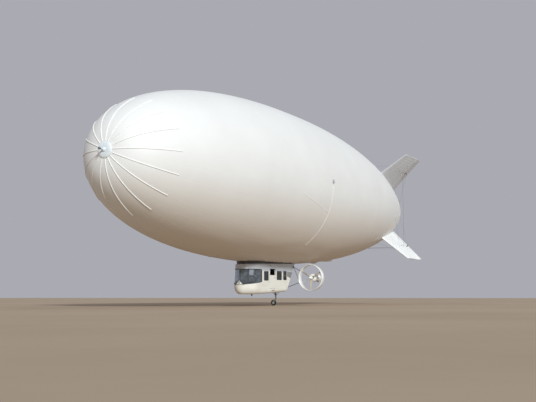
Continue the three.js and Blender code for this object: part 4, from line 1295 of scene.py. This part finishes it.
def buildPropeller(place, side, y, z):
    body = "propeller_" + place
    hub = xAt(engines["propeller"])
    bm = bmesh.new()
    addTurned(bm, [(hub + ahead, radius) for ahead, radius in engines["spinner"]], y, z)
    behind, reach = engines["spinnerBoltsAt"]
    for radial in spokes(engines["spinnerBolts"]):
        addStud(bm, Vector((hub - behind, y, z)) + radial * reach, radial, 0.003)
    makePiece(bm, "spinner." + place, "gelcoat", body)

    bm = bmesh.new()
    for angle in engines["bladeTurns"]:
        turned = aboutAxis(y, z, angle + side * engines["restTurn"])
        rings = []
        for out, chord, thick, pitch in engines["blades"]:
            lean = math.radians(pitch)
            ring = []
            for turn in turns(20):
                wide = math.cos(turn) * chord / 2
                deep = -math.sin(turn) * thick / 2 * (1 + engines["swell"] * math.cos(turn))
                deep += engines["camber"] * thick * (1 - (2 * wide / chord) ** 2)
                ring.append(turned @ Vector((
                    hub + (wide * math.sin(lean) + deep * math.cos(lean)) * shipScale,
                    (wide * math.cos(lean) - deep * math.sin(lean)) * shipScale,
                    out * shipScale,
                )))
            rings.append(ring)
        addRings(bm, rings)
    makePiece(bm, "blades." + place, "blade", body, ["propeller_" + place])


def buildEngine(place, side):
    y, z = side * engines["out"] * shipScale, engines["height"] * shipScale
    buildFanRing(place, y, z)
    buildCowl(place, y, z)
    finishNodes("alloy", 0.003, "engine_block_" + place)
    finishNodes("steel", 0, "engine_truss_" + place)
    buildPropeller(place, side, y, z)


# Landing gear

gear = {
    "station": 24.0, "trail": 0.22, "height": -10.195, "radius": 0.255, "width": 0.15, "rim": 0.13,
    "sipes": 40, "sipesAt": 0.86, "sipeTilt": 0.62, "bolts": 6, "boltsAt": 0.46, "boltCircle": 0.046,
}


def buildGear():
    finishNodes("silver", 0.002, "gear_leg", "gear_fork")
    centre = at(gear["station"], -gear["trail"], gear["height"])
    radius, rim = gear["radius"] * shipScale, gear["rim"] * shipScale
    half = gear["width"] * shipScale / 2

    def addWheelPart(bm, outline, sides):
        both = outline + [(-share, reach) for share, reach in reversed(outline)]
        both = [(centre.x + share * half, reach) for share, reach in both]
        addTurned(bm, both, centre.y, centre.z, sides, loop=True)

    bm = bmesh.new()
    addWheelPart(bm, [
        (0.8, rim + 0.0006), (0.93, rim + 0.006), (1, rim + 0.022), (0.99, rim + 0.036),
        (0.9, radius - 0.013), (0.72, radius - 0.003), (0.4, radius), (0.36, radius - 0.0045),
        (0.3, radius - 0.0045), (0.26, radius), (0.05, radius), (0.02, radius - 0.0045),
    ], 96)
    # sipes across the shoulders
    for turn in turns(gear["sipes"]):
        for share in (gear["sipesAt"], -gear["sipesAt"]):
            middle = Vector((centre.x + share * half, centre.y, centre.z)) + spoke(turn) * (radius - 0.009)
            tilt = Matrix.Translation(middle) @ Matrix.Rotation(turn - math.pi / 2, 4, "X")
            tilt = tilt @ Matrix.Rotation(math.copysign(gear["sipeTilt"], share), 4, "Y")
            addBox(bm, (-0.008, -0.0026, -0.004), (0.008, 0.0026, 0.0012), 0.001, tilt)
    makePiece(bm, "noseTyre", "tyre", "wheel", ["tyre"])

    bm = bmesh.new()
    addWheelPart(bm, [
        (1.06, 0.0108), (1.06, 0.02), (0.98, 0.0225), (0.55, 0.028), (0.42, 0.04), (0.48, 0.052),
        (0.7, 0.058), (0.86, 0.0615), (0.86, rim), (0.78, rim), (0.7, rim - 0.003), (0.3, rim - 0.004),
    ], 64)
    for share in (1, -1):
        for radial in spokes(gear["bolts"]):
            spot = Vector((centre.x + share * half * gear["boltsAt"], centre.y, centre.z))
            addStud(bm, spot + radial * gear["boltCircle"], (share, 0, 0), 0.0045, 0.006, 6)
    makePiece(bm, "wheelHub", "silver", "wheel", ["wheel_hub"])


# Seats

seats = {
    # name, front of the seat (station), middle and width across, sewn panels, most that the cloth swells
    "pilot_seat_port": ("pilotSeatPort", 19.15, 0.48, 0.5, 1, 0.007),
    "pilot_seat_starboard": ("pilotSeatStarboard", 19.15, -0.48, 0.5, 1, 0.007),
    "bench_middle": ("benchMiddle", 22.33, 0, 1.86, 3, 0.008),
    "bench_rear": ("benchRear", 23.33, 0, 1.70, 3, 0.008),
}
pads = {
    "seatTop": -8.48, "thickness": 0.12, "depth": 0.47, "backTop": -7.87, "backFoot": (0.485, -8.475),
    "lean": 0.145,  # radians that the back leans aft
    "voxel": 0.006, "benchVoxel": 0.008, "pressure": 4.0, "frames": 20, "fill": 0.8,
    "channelDepth": 0.006, "channelWidth": 0.007, "piping": 0.0034,
    "squabChannels": [-0.03], "backChannels": [0.0, -0.09],
    "crown": 0.25, "pucker": 0.0006, "puckerWidth": 0.02, "puckerWaves": (210, 190),
    "rounding": 0.014, "thinner": 0.55,
    "pipingLevels": (0.3, -0.3), "pipingPower": 0.35, "pipingStep": 0.004,
}


# Turns what the modifiers show into the mesh itself.
def bakeShape(piece):
    bpy.context.view_layer.update()
    graph = bpy.context.evaluated_depsgraph_get()
    mesh = bpy.data.meshes.new_from_object(piece.evaluated_get(graph))
    mesh.name = piece.name
    piece.modifiers.clear()
    piece.data = mesh


# Pad in its own frame: x from its rear to its front, y across, z through it.
def makePad(name, size, place, swell, voxel):
    length, width, thick = size
    corner = Vector((length / 2 - swell, width / 2 - swell, thick / 2 - swell * pads["thinner"]))
    bm = bmesh.new()
    addBox(bm, -corner, corner, pads["rounding"])
    pad = newObject(name, meshFrom(bm, name))
    remesh = pad.modifiers.new("remesh", "REMESH")
    remesh.mode = "VOXEL"
    remesh.voxel_size = voxel
    bakeShape(pad)
    rest = [vert.co.copy() for vert in pad.data.vertices]
    return SimpleNamespace(pad=pad, size=size, place=place, swell=swell, rest=rest)


def swellPads(rows):
    scene = bpy.context.scene
    first = scene.frame_current
    for row in rows:
        cloth = row.pad.modifiers.new("cloth", "CLOTH")
        cloth.settings.quality = 5
        cloth.settings.use_pressure = True
        cloth.settings.uniform_pressure_force = pads["pressure"]
        cloth.settings.effector_weights.gravity = 0
        cloth.point_cache.frame_start = 1
        cloth.point_cache.frame_end = pads["frames"]
    for step in range(1, pads["frames"] + 1):
        scene.frame_set(step)
    for row in rows:
        bakeShape(row.pad)
        for start, vert in zip(row.rest, row.pad.data.vertices):
            moved = vert.co - start
            vert.co = start + moved * min(1, row.swell / max(moved.length, 1e-9))
    scene.frame_set(first)


# Channels are sewn across an axis (0 or 1) at a distance from the pad's middle.
def sewPad(row, channels):
    pad = row.pad
    alongWaves, acrossWaves = pads["puckerWaves"]
    pad.modifiers.new("smooth", "SUBSURF").levels = 1
    bakeShape(pad)
    for vert in pad.data.vertices:
        nearest = min(abs(vert.co[axis] - middle) for axis, middle in channels)
        pull = pads["channelDepth"] * math.exp(-(nearest / pads["channelWidth"]) ** 2)
        edge = min(1, abs(vert.co.z) / (row.size[2] * 0.3))
        vert.co.z -= math.copysign(pull * edge, vert.co.z)
        wave = pads["pucker"] * (math.sin(vert.co.x * alongWaves) * math.sin(vert.co.y * acrossWaves))
        vert.co.z += math.copysign(wave * math.exp(-(nearest / pads["puckerWidth"]) ** 2), vert.co.z)
    pad.data.transform(row.place)
    shadeSmooth(pad.data)
    pad.data.materials.clear()
    pad.data.materials.append(look["cloth"])
    return surfaceOf(pad.data)


# Piping sewn along the pad's upper and lower edges.
def addPiping(bm, row, tree):
    length, width, thick = row.size
    power = pads["pipingPower"]
    for level in pads["pipingLevels"]:
        path, normals = [], []
        for turn in turns(96):
            spot = Vector((
                math.copysign(abs(math.cos(turn)) ** power, math.cos(turn)) * length / 2,
                math.copysign(abs(math.sin(turn)) ** power, math.sin(turn)) * width / 2, level * thick,
            ))
            near, normal, _, _ = tree.find_nearest(row.place @ spot)
            if not path or (near - path[-1]).length >= pads["pipingStep"]:
                path.append(near)
                normals.append(normal)
        addSweep(bm, path, normals, roundSection(pads["piping"], 8), closedPath=True)


# Squab and back of one seat, before they swell.
def makeSeatPads(name, station, across, width, panels, swell):
    voxel = pads["voxel"] if panels == 1 else pads["benchVoxel"]
    thick, lean, (foot, low) = pads["thickness"], pads["lean"], pads["backFoot"]
    middle = at(station + pads["depth"] / 2, across, pads["seatTop"] - thick / 2)
    size = [value * shipScale for value in (pads["depth"] - 0.01, width - 0.01, thick)]
    squab = makePad(name + ".squab", size, Matrix.Translation(middle), swell, voxel)
    tall = (pads["backTop"] - low) / math.cos(lean)
    size = [value * shipScale for value in (tall - 0.01, width - 0.01, thick - 0.01)]
    turned = Matrix.Rotation(math.pi / 2 + lean, 4, "Y")
    middle = at(station + foot + 0.06, across, low) + turned @ Vector((-tall / 2 * shipScale, 0, 0))
    return squab, makePad(name + ".back", size, Matrix.Translation(middle) @ turned, swell, voxel)


def buildSeats():
    rows = {node: makeSeatPads(*plan) for node, plan in seats.items()}
    made = [row for pair in rows.values() for row in pair]
    swellPads(made)
    for node, (squab, back) in rows.items():
        name, _, _, width, panels, _ = seats[node]
        edge = width * shipScale / 2
        across = [(1, -edge + 2 * edge * i / panels) for i in range(1, panels)]
        if panels == 1:
            across = [(1, edge * 0.55), (1, -edge * 0.55)]
        trees = [
            sewPad(squab, across + [(0, place) for place in pads["squabChannels"]]),
            sewPad(back, across + [(0, place) for place in pads["backChannels"]]),
        ]
        bm = bmesh.new()
        for row, tree in zip((squab, back), trees):
            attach(row.pad, "airship")
            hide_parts(node)
            addPiping(bm, row, tree)
        makePiece(bm, name + ".piping", "webbing")
        buildBelts(name, squab.place.translation, trees[0], panels, width * shipScale / panels)


belts = {
    "section": [(-0.0115, 0), (-0.0112, 0.0018), (0.0112, 0.0018), (0.0115, 0)],
    "corner": 0.4,  # share of a place's width from its middle
    "rear": 0.095, "reach": 0.1, "bend": 1.6, "lift": 0.0012, "buckleSide": 0.014, "buckleAt": 0.006,
}


# Lap belts lie on the squab from its rear corners to a buckle in the middle of each place.
def buildBelts(name, centre, tree, panels, share):
    bm, buckles = bmesh.new(), bmesh.new()

    def onSquab(x, y):
        return onSurface(tree, Vector((x, y, centre.z)), (0, 0, -1), 0.2)

    for i in range(panels):
        middle = centre.y + share * (i - (panels - 1) / 2)
        for side in (1, -1):
            path, normals = [], []
            for t in between(0, 1, 14):
                reach = share * belts["corner"] * (1 - t) + belts["buckleSide"] * t
                x = centre.x - belts["rear"] + belts["reach"] * t ** belts["bend"]
                hit, normal = onSquab(x, middle + side * reach)
                if hit:
                    path.append(hit + normal * belts["lift"])
                    normals.append(normal)
            addSweep(bm, path, normals, belts["section"])
        turned = facing(*onSquab(centre.x + belts["buckleAt"], middle))
        addBox(buckles, (-0.014, -0.019, 0.001), (0.014, 0.019, 0.009), 0.003, turned)
        addBox(buckles, (-0.007, -0.009, 0.008), (0.007, 0.009, 0.0115), 0.001, turned)
    makePiece(bm, name + ".belts", "webbing")
    makePiece(buckles, name + ".buckles", "aluminium")


# Controls

controls = {
    "panelRear": 18.64, "panelTop": -8.33, "panelHalf": 0.74,
    # dials on the panel's rear face: height, radius, places across
    "dials": [
        (-8.58, 0.042, (0.62, 0.5, 0.38)), (-8.69, 0.036, (0.62,)), (-8.69, 0.042, (0.5,)),
        (-8.69, 0.036, (0.38,)), (-8.57, 0.034, (0.18, 0.06, -0.06, -0.18)),
        (-8.66, 0.026, (0.12, 0.0, -0.12)), (-8.58, 0.042, (-0.38, -0.5, -0.62)), (-8.69, 0.036, (-0.5,)),
    ],
    # a bezel's section: ahead of the panel in model metres, share of the dial's radius
    "bezel": [(0.002, 1.0), (-0.004, 1.02), (-0.0055, 1.12), (-0.004, 1.22), (0.002, 1.24)],
    "face": [(0.001, 0), (0.001, 1.02), (-0.002, 1.02), (-0.0026, 0)],
    "ticks": 9, "tickFrom": 225, "tickStep": 33.75,
    "switches": 7, "switchReach": 0.3, "switchHeight": -8.76,
    # the padded hood's section: station, height over the panel's top
    "hood": [(18.50, 0.004), (18.52, 0.022), (18.58, 0.03), (18.7, 0.012), (18.735, -0.03),
             (18.73, -0.045), (18.7, -0.03), (18.64, -0.005), (18.56, 0.005)],
    "yokeOut": 0.48, "yokeHub": (18.94, -8.36), "yokeColumn": [(18.62, -8.62), (18.78, -8.42)],
    "yokeRadius": 0.15, "yokeOpen": (-220, 40), "yokeSpokes": (-200, 20, -90),
    "pedal": (18.84, -8.80), "pedalPivot": (18.63, -8.74), "pedalsOut": (-0.11, 0.11), "pedalTilt": 0.5,
    "pedestal": ((19.02, -0.15, -8.948), (18.66, 0.15, -8.64)),
    "levers": (-0.08, -0.03, 0.03, 0.08), "leverFoot": (18.82, -8.65), "leverHeight": 0.075,
}


def addDial(faces, rims, y, z, radius):
    reach = radius * shipScale
    spot = Vector((xAt(controls["panelRear"]), y * shipScale, z * shipScale))
    for bm, key, loop in ((rims, "bezel", True), (faces, "face", False)):
        outline = [(spot.x + ahead, reach * share) for ahead, share in controls[key]]
        addTurned(bm, outline, spot.y, spot.z, sides=32, loop=loop)
    for tick in range(controls["ticks"]):
        radial = spoke(math.radians(controls["tickFrom"] - tick * controls["tickStep"]))
        place = spot + radial * reach * 0.84 + Vector((-0.0026, 0, 0))
        addStud(rims, place, (-1, 0, 0), reach * 0.05, 0.0005, 6)
    radial = spoke(math.radians(200 - 37 * (round(y * 50) % 6)))
    pivot = spot + Vector((-0.003, 0, 0))
    addTube(rims, [pivot - radial * reach * 0.15, pivot + radial * reach * 0.7], reach * 0.035, 6)


def buildPanel():
    finishNodes("abs", 0.003, "instrument_panel")
    faces, rims = bmesh.new(), bmesh.new()
    for height, radius, places in controls["dials"]:
        for y in places:
            addDial(faces, rims, y, height, radius)
    makePiece(faces, "panelDials", "dial")
    for y in between(-controls["switchReach"], controls["switchReach"], controls["switches"]):
        spot = at(controls["panelRear"], y, controls["switchHeight"]) - Vector((0.001, 0, 0))
        addStud(rims, spot, (-1, 0, 0), 0.006, 0.004, 10)
        addTube(rims, [spot, spot + Vector((-0.012, 0, 0.005))], 0.0022, 8)
    makePiece(rims, "panelBezels", "aluminium")

    bm = bmesh.new()
    rings = []
    for y in between(-controls["panelHalf"], controls["panelHalf"], 15):
        top = controls["panelTop"] - 0.02 * (abs(y) / controls["panelHalf"]) ** 4
        rings.append([at(station, y, top + lift) for station, lift in controls["hood"]])
    addRings(bm, rings)
    makePiece(bm, "panelHood", "abs", crease=60)


def addYoke(bm, y):
    station, height = controls["yokeHub"]
    hub = at(station, y, height)
    addTube(bm, bent([at(s, y, h) for s, h in controls["yokeColumn"]] + [hub]), 0.012, 12)
    radius = controls["yokeRadius"] * shipScale
    first, last = (math.radians(degrees) for degrees in controls["yokeOpen"])
    addTube(bm, [hub + spoke(turn) * radius for turn in between(first, last, 30)], 0.0075, 12)
    for degrees in controls["yokeSpokes"]:
        addTube(bm, [hub, hub + spoke(math.radians(degrees)) * radius], 0.006, 10)
    addStud(bm, hub, (-1, 0, 0), 0.018, 0.012, 20)


def addPedal(bm, y):
    (station, height), (pivot, pivotHeight) = controls["pedal"], controls["pedalPivot"]
    foot = at(station, y, height)
    turned = Matrix.Translation(foot) @ Matrix.Rotation(controls["pedalTilt"], 4, "Y")
    addBox(bm, (-0.004, -0.028, -0.035), (0.004, 0.028, 0.035), 0.003, turned)
    for rib in between(-0.02, 0.02, 4):
        addBox(bm, (-0.007, -0.024, rib - 0.002), (-0.003, 0.024, rib + 0.002), 0.001, turned)
    addTube(bm, [foot, at(pivot, y, pivotHeight)], 0.006, 8)


def buildControls():
    buildPanel()
    bm = bmesh.new()
    for side in (1, -1):
        y = side * controls["yokeOut"]
        addYoke(bm, y)
        for out in controls["pedalsOut"]:
            addPedal(bm, y + out)
    # levers between the seats
    addBox(bm, *(at(*corner) for corner in controls["pedestal"]), 0.012)
    for i, y in enumerate(controls["levers"]):
        station, height = controls["leverFoot"]
        start = at(station, y, height)
        end = start + Vector((-0.012 + 0.008 * (i % 2), 0, controls["leverHeight"]))
        addTube(bm, [start, end], 0.003, 8)
        addStud(bm, end - Vector((0, 0, 0.008)), (0, 0, 1), 0.011, 0.02, 14)
    makePiece(bm, "pilotControls", "abs")


trim = {
    "bows": (19.66, 20.84, 22.12, 24.2), "bowInset": 0.085, "bowDrop": 0.36, "bowFoot": -8.2,
    "rail": (22.3, 22.32, 23.9, 23.92), "railInset": 0.13, "railDepth": 0.045, "railHeight": -7.36,
}


# Pale bows that carry the roof, and grab rails over the side windows.
def buildCabinTrim():
    finishNodes("steel", 0.002, "seat_frame")
    bm = bmesh.new()
    for station in trim["bows"]:
        inside, foot = cabin["halfWidth"] - trim["bowInset"], trim["bowFoot"]
        top = roofHeight(station) - trim["bowDrop"]
        corners = [(-inside, foot), (-inside, top), (inside, top), (inside, foot)]
        addTube(bm, bent([at(station, y, height) for y, height in corners], 8), 0.011, 12)
    for side in (1, -1):
        y = side * (cabin["halfWidth"] - trim["railInset"])
        wall = y + side * trim["railDepth"]
        outs = (wall, y, y, wall)
        corners = [at(station, out, trim["railHeight"]) for station, out in zip(trim["rail"], outs)]
        addTube(bm, bent(corners, 5), 0.008, 12)
    makePiece(bm, "cabinBows", "aluminium")


# Gondola fittings

fittings = {
    # rivets between two (station, height) points, with their spacing
    "rivets": [
        ((19.66, -7.5), (19.66, -8.66), 0.11), ((19.7, -8.76), (24.15, -8.76), 0.12),
        ((19.7, -7.06), (20.84, -7.06), 0.12), ((22.12, -7.06), (24.9, -7.04), 0.12),
        ((22.12, -7.4), (22.12, -8.66), 0.11), ((24.2, -7.3), (24.2, -8.6), 0.11),
        ((17.95, -7.2), (19.5, -7.2), 0.12),
    ],
    # drip rails over the windows and rub rails under them: first, last, height, width, lift
    "rails": [
        (19.68, 20.84, -7.44, 0.008, 0.006), (22.12, 24.85, -7.38, 0.008, 0.006),
        (22.12, 24.3, -8.70, 0.014, 0.005), (19.68, 20.84, -8.70, 0.014, 0.005),
    ],
    "peakFoot": -8.655, "peakHeight": 0.34, "peakHalf": 0.29, "peakPost": 0.025,
    "handle": (21.72, 21.92), "handleHeight": -8.02, "keyhole": (21.95, -8.14),
    "hinges": (20.955, (-7.42, -8.42)),
    "step": (21.2, 21.75), "stepHeight": -9.06, "stepOut": 0.11,
    "grab": (20.84, (-7.75, -8.15)),
    "wiper": (0.38, 0.95), "wiperFoot": -8.56, "wiperRise": 0.11,
    "rearWall": 25.2, "louvresOut": 0.45, "louvres": (-7.75, -7.45), "hatch": (-8.05, -8.65),
}


# What onSide() finds along a line of stations, as a path and its normals.
def alongSide(side, stations, height):
    found = [onSide(side, station, height) for station in stations]
    return zip(*(pair for pair in found if pair[0]))


def buildRivetsAndRails():
    bm = bmesh.new()
    first, last = cabin["door"][0] - 0.03, cabin["door"][1] + 0.03
    for start, end, spacing in fittings["rivets"]:
        count = max(2, round(math.dist(start, end) / spacing))
        stations, heights = (between(a, b, count) for a, b in zip(start, end))
        for station, height in zip(stations, heights):
            for side in (1, -1):
                spot, normal = onSide(side, station, height)
                if spot and not first < station < last:
                    addStud(bm, spot, normal, 0.0042, 0.002, 8)
    makePiece(bm, "gondolaRivets", "aluminium")
    bm = bmesh.new()
    for side in (1, -1):
        for start, end, height, width, lift in fittings["rails"]:
            path, normals = alongSide(side, between(start, end, 24), height)
            addSweep(bm, path, normals, padSection(width, lift, 0.001))
    makePiece(bm, "gondolaRails", "enamel")


# Cream gusset at the foot of the windscreen's middle post.
def buildScreenPeak():
    rings = []
    for share in between(0, 1, 10):
        height = fittings["peakFoot"] + fittings["peakHeight"] * share
        reach = fittings["peakHalf"] * (1 - share) ** 1.3 + fittings["peakPost"]
        across = between(-reach, reach, 13)
        rings.append([onNoseWall(turn, height, 0.004) for turn in across]
                     + [onNoseWall(turn, height, -0.002) for turn in reversed(across)])
    bm = bmesh.new()
    addRings(bm, rings)
    makePiece(bm, "windscreenPeak", "enamel", crease=50)


# A wiper parked under each pane.
def buildWipers():
    bm = bmesh.new()
    first, last = fittings["wiper"]
    for side in (1, -1):
        path = [
            onNoseWall(side * turn, fittings["wiperFoot"] + fittings["wiperRise"] * (turn - first), 0.012)
            for turn in between(first, last, 10)
        ]
        addTube(bm, path, 0.004, 8)
        arm = [path[0] + Vector((0, 0, -0.06)), path[0] + Vector((0.006, 0, -0.02)), path[4]]
        addTube(bm, bent(arm, 5), 0.0045, 8)
        addStud(bm, path[0] + Vector((-0.012, 0, -0.06)), (1, side * 0.4, 0), 0.012, 0.016, 14)
    makePiece(bm, "wipers", "abs")


# Pull handle with its rose plates, a key escutcheon and the hinge straps.
def buildDoorFittings():
    for place, side in mirrored.items():
        bm = bmesh.new()
        ends = [onSide(side, station, fittings["handleHeight"]) for station in fittings["handle"]]
        for spot, normal in ends:
            addStud(bm, spot, normal, 0.014, 0.005, 20)
        addHandle(bm, [spot for spot, normal in ends], Vector((0, side * 0.022, 0)), 0.0055, 12)
        addStud(bm, *onSide(side, *fittings["keyhole"]), 0.009, 0.003, 16)
        station, heights = fittings["hinges"]
        for height in heights:
            spot, normal = onSide(side, station, height)
            turned = Matrix.Translation(spot)
            addBox(bm, (-0.02, -0.004, -0.016), (0.02, 0.004, 0.016), 0.003, turned)
            for reach in (-0.011, 0.011):
                addStud(bm, spot + Vector((reach, side * 0.004, 0)), normal, 0.0045, 0.002, 8)
        makePiece(bm, "doorHandle" + place, "aluminium", "door_" + place.lower())


# Folding step under each door, a tube loop with a ribbed tread, and a grab handle beside it.
def buildSteps():
    bm = bmesh.new()
    first, last = fittings["step"]
    height, half = fittings["stepHeight"], cabin["halfWidth"]
    for side in (1, -1):
        wall, out = side * (half - 0.06), side * (half + fittings["stepOut"])
        corners = [(first, wall, 0), (first, out, -0.01), (last, out, -0.01), (last, wall, 0)]
        addTube(bm, bent([at(station, y, height + drop) for station, y, drop in corners]), 0.008, 12)
        for reach in between(0.0, 0.09, 4):
            y = side * (half + reach)
            addTube(bm, [at(first, y, height - 0.006), at(last, y, height - 0.006)], 0.004, 8)
        station, heights = fittings["grab"]
        feet = [onSide(side, station, level)[0] for level in heights]
        addHandle(bm, feet, Vector((0, side * 0.02, 0)), 0.005, 10)
    makePiece(bm, "doorSteps", "gelcoat")


# Louvres, hatch and fasteners on the raked rear wall.
def buildRearWall():
    bm = bmesh.new()
    for y in (-fittings["louvresOut"], fittings["louvresOut"]):
        for height in between(*fittings["louvres"], 5):
            spot, normal = onSurface(cabinSurface, at(fittings["rearWall"], y, height), (1, 0, 0), 1.2)
            if spot:
                addBox(bm, (-0.055, -0.006, -0.002), (0.055, 0.006, 0.007), 0.003, facing(spot, normal))
    for y in between(-0.3, 0.3, 6):
        for height in fittings["hatch"]:
            spot, normal = onSurface(cabinSurface, at(fittings["rearWall"], y, height), (1, 0, 0), 1.6)
            if spot:
                addStud(bm, spot, normal, 0.006, 0.003, 10)
    makePiece(bm, "rearLouvres", "abs")


lamps = {"side": (21.0, -7.0), "bellyRadius": 0.024, "bellyRing": 0.029, "tailRadius": 0.018}


def buildLamps():
    lens = {"red": bmesh.new(), "green": bmesh.new(), "clear": bmesh.new()}
    bases = bmesh.new()
    for key, side in (("red", 1), ("green", -1)):
        spot, normal = onSide(side, *lamps["side"])
        addStud(bases, spot, normal, 0.022, 0.008, 20)
        addStud(lens[key], spot + normal * 0.006, normal, 0.016, 0.022, 20)
    low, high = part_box("belly_light")
    middle = Vector(((low[0] + high[0]) / 2, 0, low[2]))
    addStud(lens["clear"], middle + Vector((0, 0, 0.002)), (0, 0, -1), lamps["bellyRadius"], 0.014, 24)
    reach = lamps["bellyRing"]
    ring = [middle + Vector((reach * math.cos(t), reach * math.sin(t), 0.008)) for t in turns(32)]
    addSweep(bases, ring, [Vector((0, 0, 1))] * 32, roundSection(0.003, 8), closedPath=True)
    tail = at(hull["length"], 0, 0)
    addStud(bases, tail + Vector((0.006, 0, 0)), (-1, 0, 0), 0.03, 0.014, 24)
    addStud(lens["clear"], tail - Vector((0.006, 0, 0)), (-1, 0, 0), lamps["tailRadius"], 0.02, 20)
    makePiece(bases, "lampBases", "silver")
    for key, bm in lens.items():
        makePiece(bm, key + "Lamp", key + "Lamp")


suspension = {
    # links between the roof's edge and patches on the hull: station, out on the roof, out on the hull
    "links": [(17.8, 0.3, 0.42), (19.6, 0.97, 1.3), (21.1, 0.97, 1.3), (22.9, 0.97, 1.3), (24.6, 0.97, 1.3)],
    "radius": 0.011, "patch": 0.2, "turnbuckle": (-0.04, -0.03, 0.03, 0.04), "turnbuckleRadius": 0.012,
}


def buildSuspension():
    bm, patches = bmesh.new(), bmesh.new()
    for station, roofOut, hullOut in suspension["links"]:
        for side in (1, -1):
            hit, _ = onSurface(cabinSurface, at(station, side * roofOut, -6.8), (0, 0, -1), 0.2)
            low = hit or at(station, side * roofOut, roofHeight(station))
            angle = -90 + side * math.degrees(math.asin(hullOut / hullRadius(station)))
            high, normal = hullSkin(station, angle, -0.01)
            along = (high - low).normalized()
            addTube(bm, [low - along * 0.01, high], suspension["radius"] * shipScale * 1.2, 10)
            middle = low.lerp(high, 0.5)
            path = [middle + along * step for step in suspension["turnbuckle"]]
            addTube(bm, path, suspension["turnbuckleRadius"], 10)
            addBox(bm, low + Vector((-0.03, -0.012, -0.006)), low + Vector((0.03, 0.012, 0.014)), 0.004)
            addStud(patches, high, normal, suspension["patch"] * shipScale, 0.008, 28)
    makePiece(bm, "suspensionLinks", "steel")
    makePiece(patches, "suspensionPatches", "sleeve")


# Rings of bolts are (radius, count), in model metres.
valves = {
    "air": {"bolts": [(0.172, 24), (0.1, 8)], "radius": 0.005, "height": 0.004},
    "gas": {"bolts": [(0.076, 16), (0.04, 8)], "radius": 0.004, "height": 0.003},
    "slats": 7, "slatReach": 0.09, "grille": 0.115,
}


def addValveBolts(bm, tree, middle, inward, kind):
    for reach, count in valves[kind]["bolts"]:
        for turn in turns(count):
            across, along = reach * math.cos(turn), reach * math.sin(turn)
            offset = (across, along, 0) if kind == "air" else (across, 0, along)
            spot, normal = onSurface(tree, middle + Vector(offset), inward, 0.3)
            if spot:
                addStud(bm, spot, normal, valves[kind]["radius"], valves[kind]["height"], 8)


def buildValveDetails():
    bm = bmesh.new()
    for node in ("air_valve_front", "air_valve_rear"):
        finishNodes("hull", 0.003, node)
        tree = surfaceOf(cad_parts[node].data)
        low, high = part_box(node)
        middle = Vector(((low[0] + high[0]) / 2, 0, low[2]))
        addValveBolts(bm, tree, middle, (0, 0, 1), "air")
        for offset in between(-valves["slatReach"], valves["slatReach"], valves["slats"]):
            half = math.sqrt(valves["grille"] ** 2 - offset ** 2)
            places = [middle + Vector((offset, y, 0)) for y in between(-half, half, 6)]
            path = [onSurface(tree, place, (0, 0, 1), 0.3)[0] for place in places]
            path = [spot for spot in path if spot]
            if len(path) > 1:
                addTube(bm, path, 0.003, 8)
    for place, side in mirrored.items():
        node = "gas_valve_" + place.lower()
        finishNodes("anodised", 0.003, node)
        low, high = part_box(node)
        middle = Vector(((low[0] + high[0]) / 2, high[1] if side > 0 else low[1], 0))
        addValveBolts(bm, surfaceOf(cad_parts[node].data), middle, (0, -side, 0), "gas")
    makePiece(bm, "valveBolts", "anodised")


def buildFittings():
    buildControls()
    buildCabinTrim()
    buildRivetsAndRails()
    buildScreenPeak()
    buildDoorFittings()
    buildSteps()
    buildWipers()
    buildRearWall()
    buildLamps()
    buildSuspension()
    buildValveDetails()


def buildFloor():
    bm = bmesh.new()
    bmesh.ops.create_grid(bm, x_segments=8, y_segments=8, size=studio["floorSize"] / 2)
    floor = newObject("floor", meshFrom(bm, "floor", "floor"))
    floor.location.z = studio["floorHeight"]


buildFloor()
buildSeats()
print("seats sewn")
buildHull()
buildSeams()
buildSleeves()
buildNose()
print("hull and nose made")
buildTail()
buildRigging()
print("tail and rigging made")
buildGondola()
buildFittings()
print("gondola made")
for place, side in mirrored.items():
    buildEngine(place.lower(), side)
buildGear()
print("engines and gear made")

bpy.context.view_layer.update()
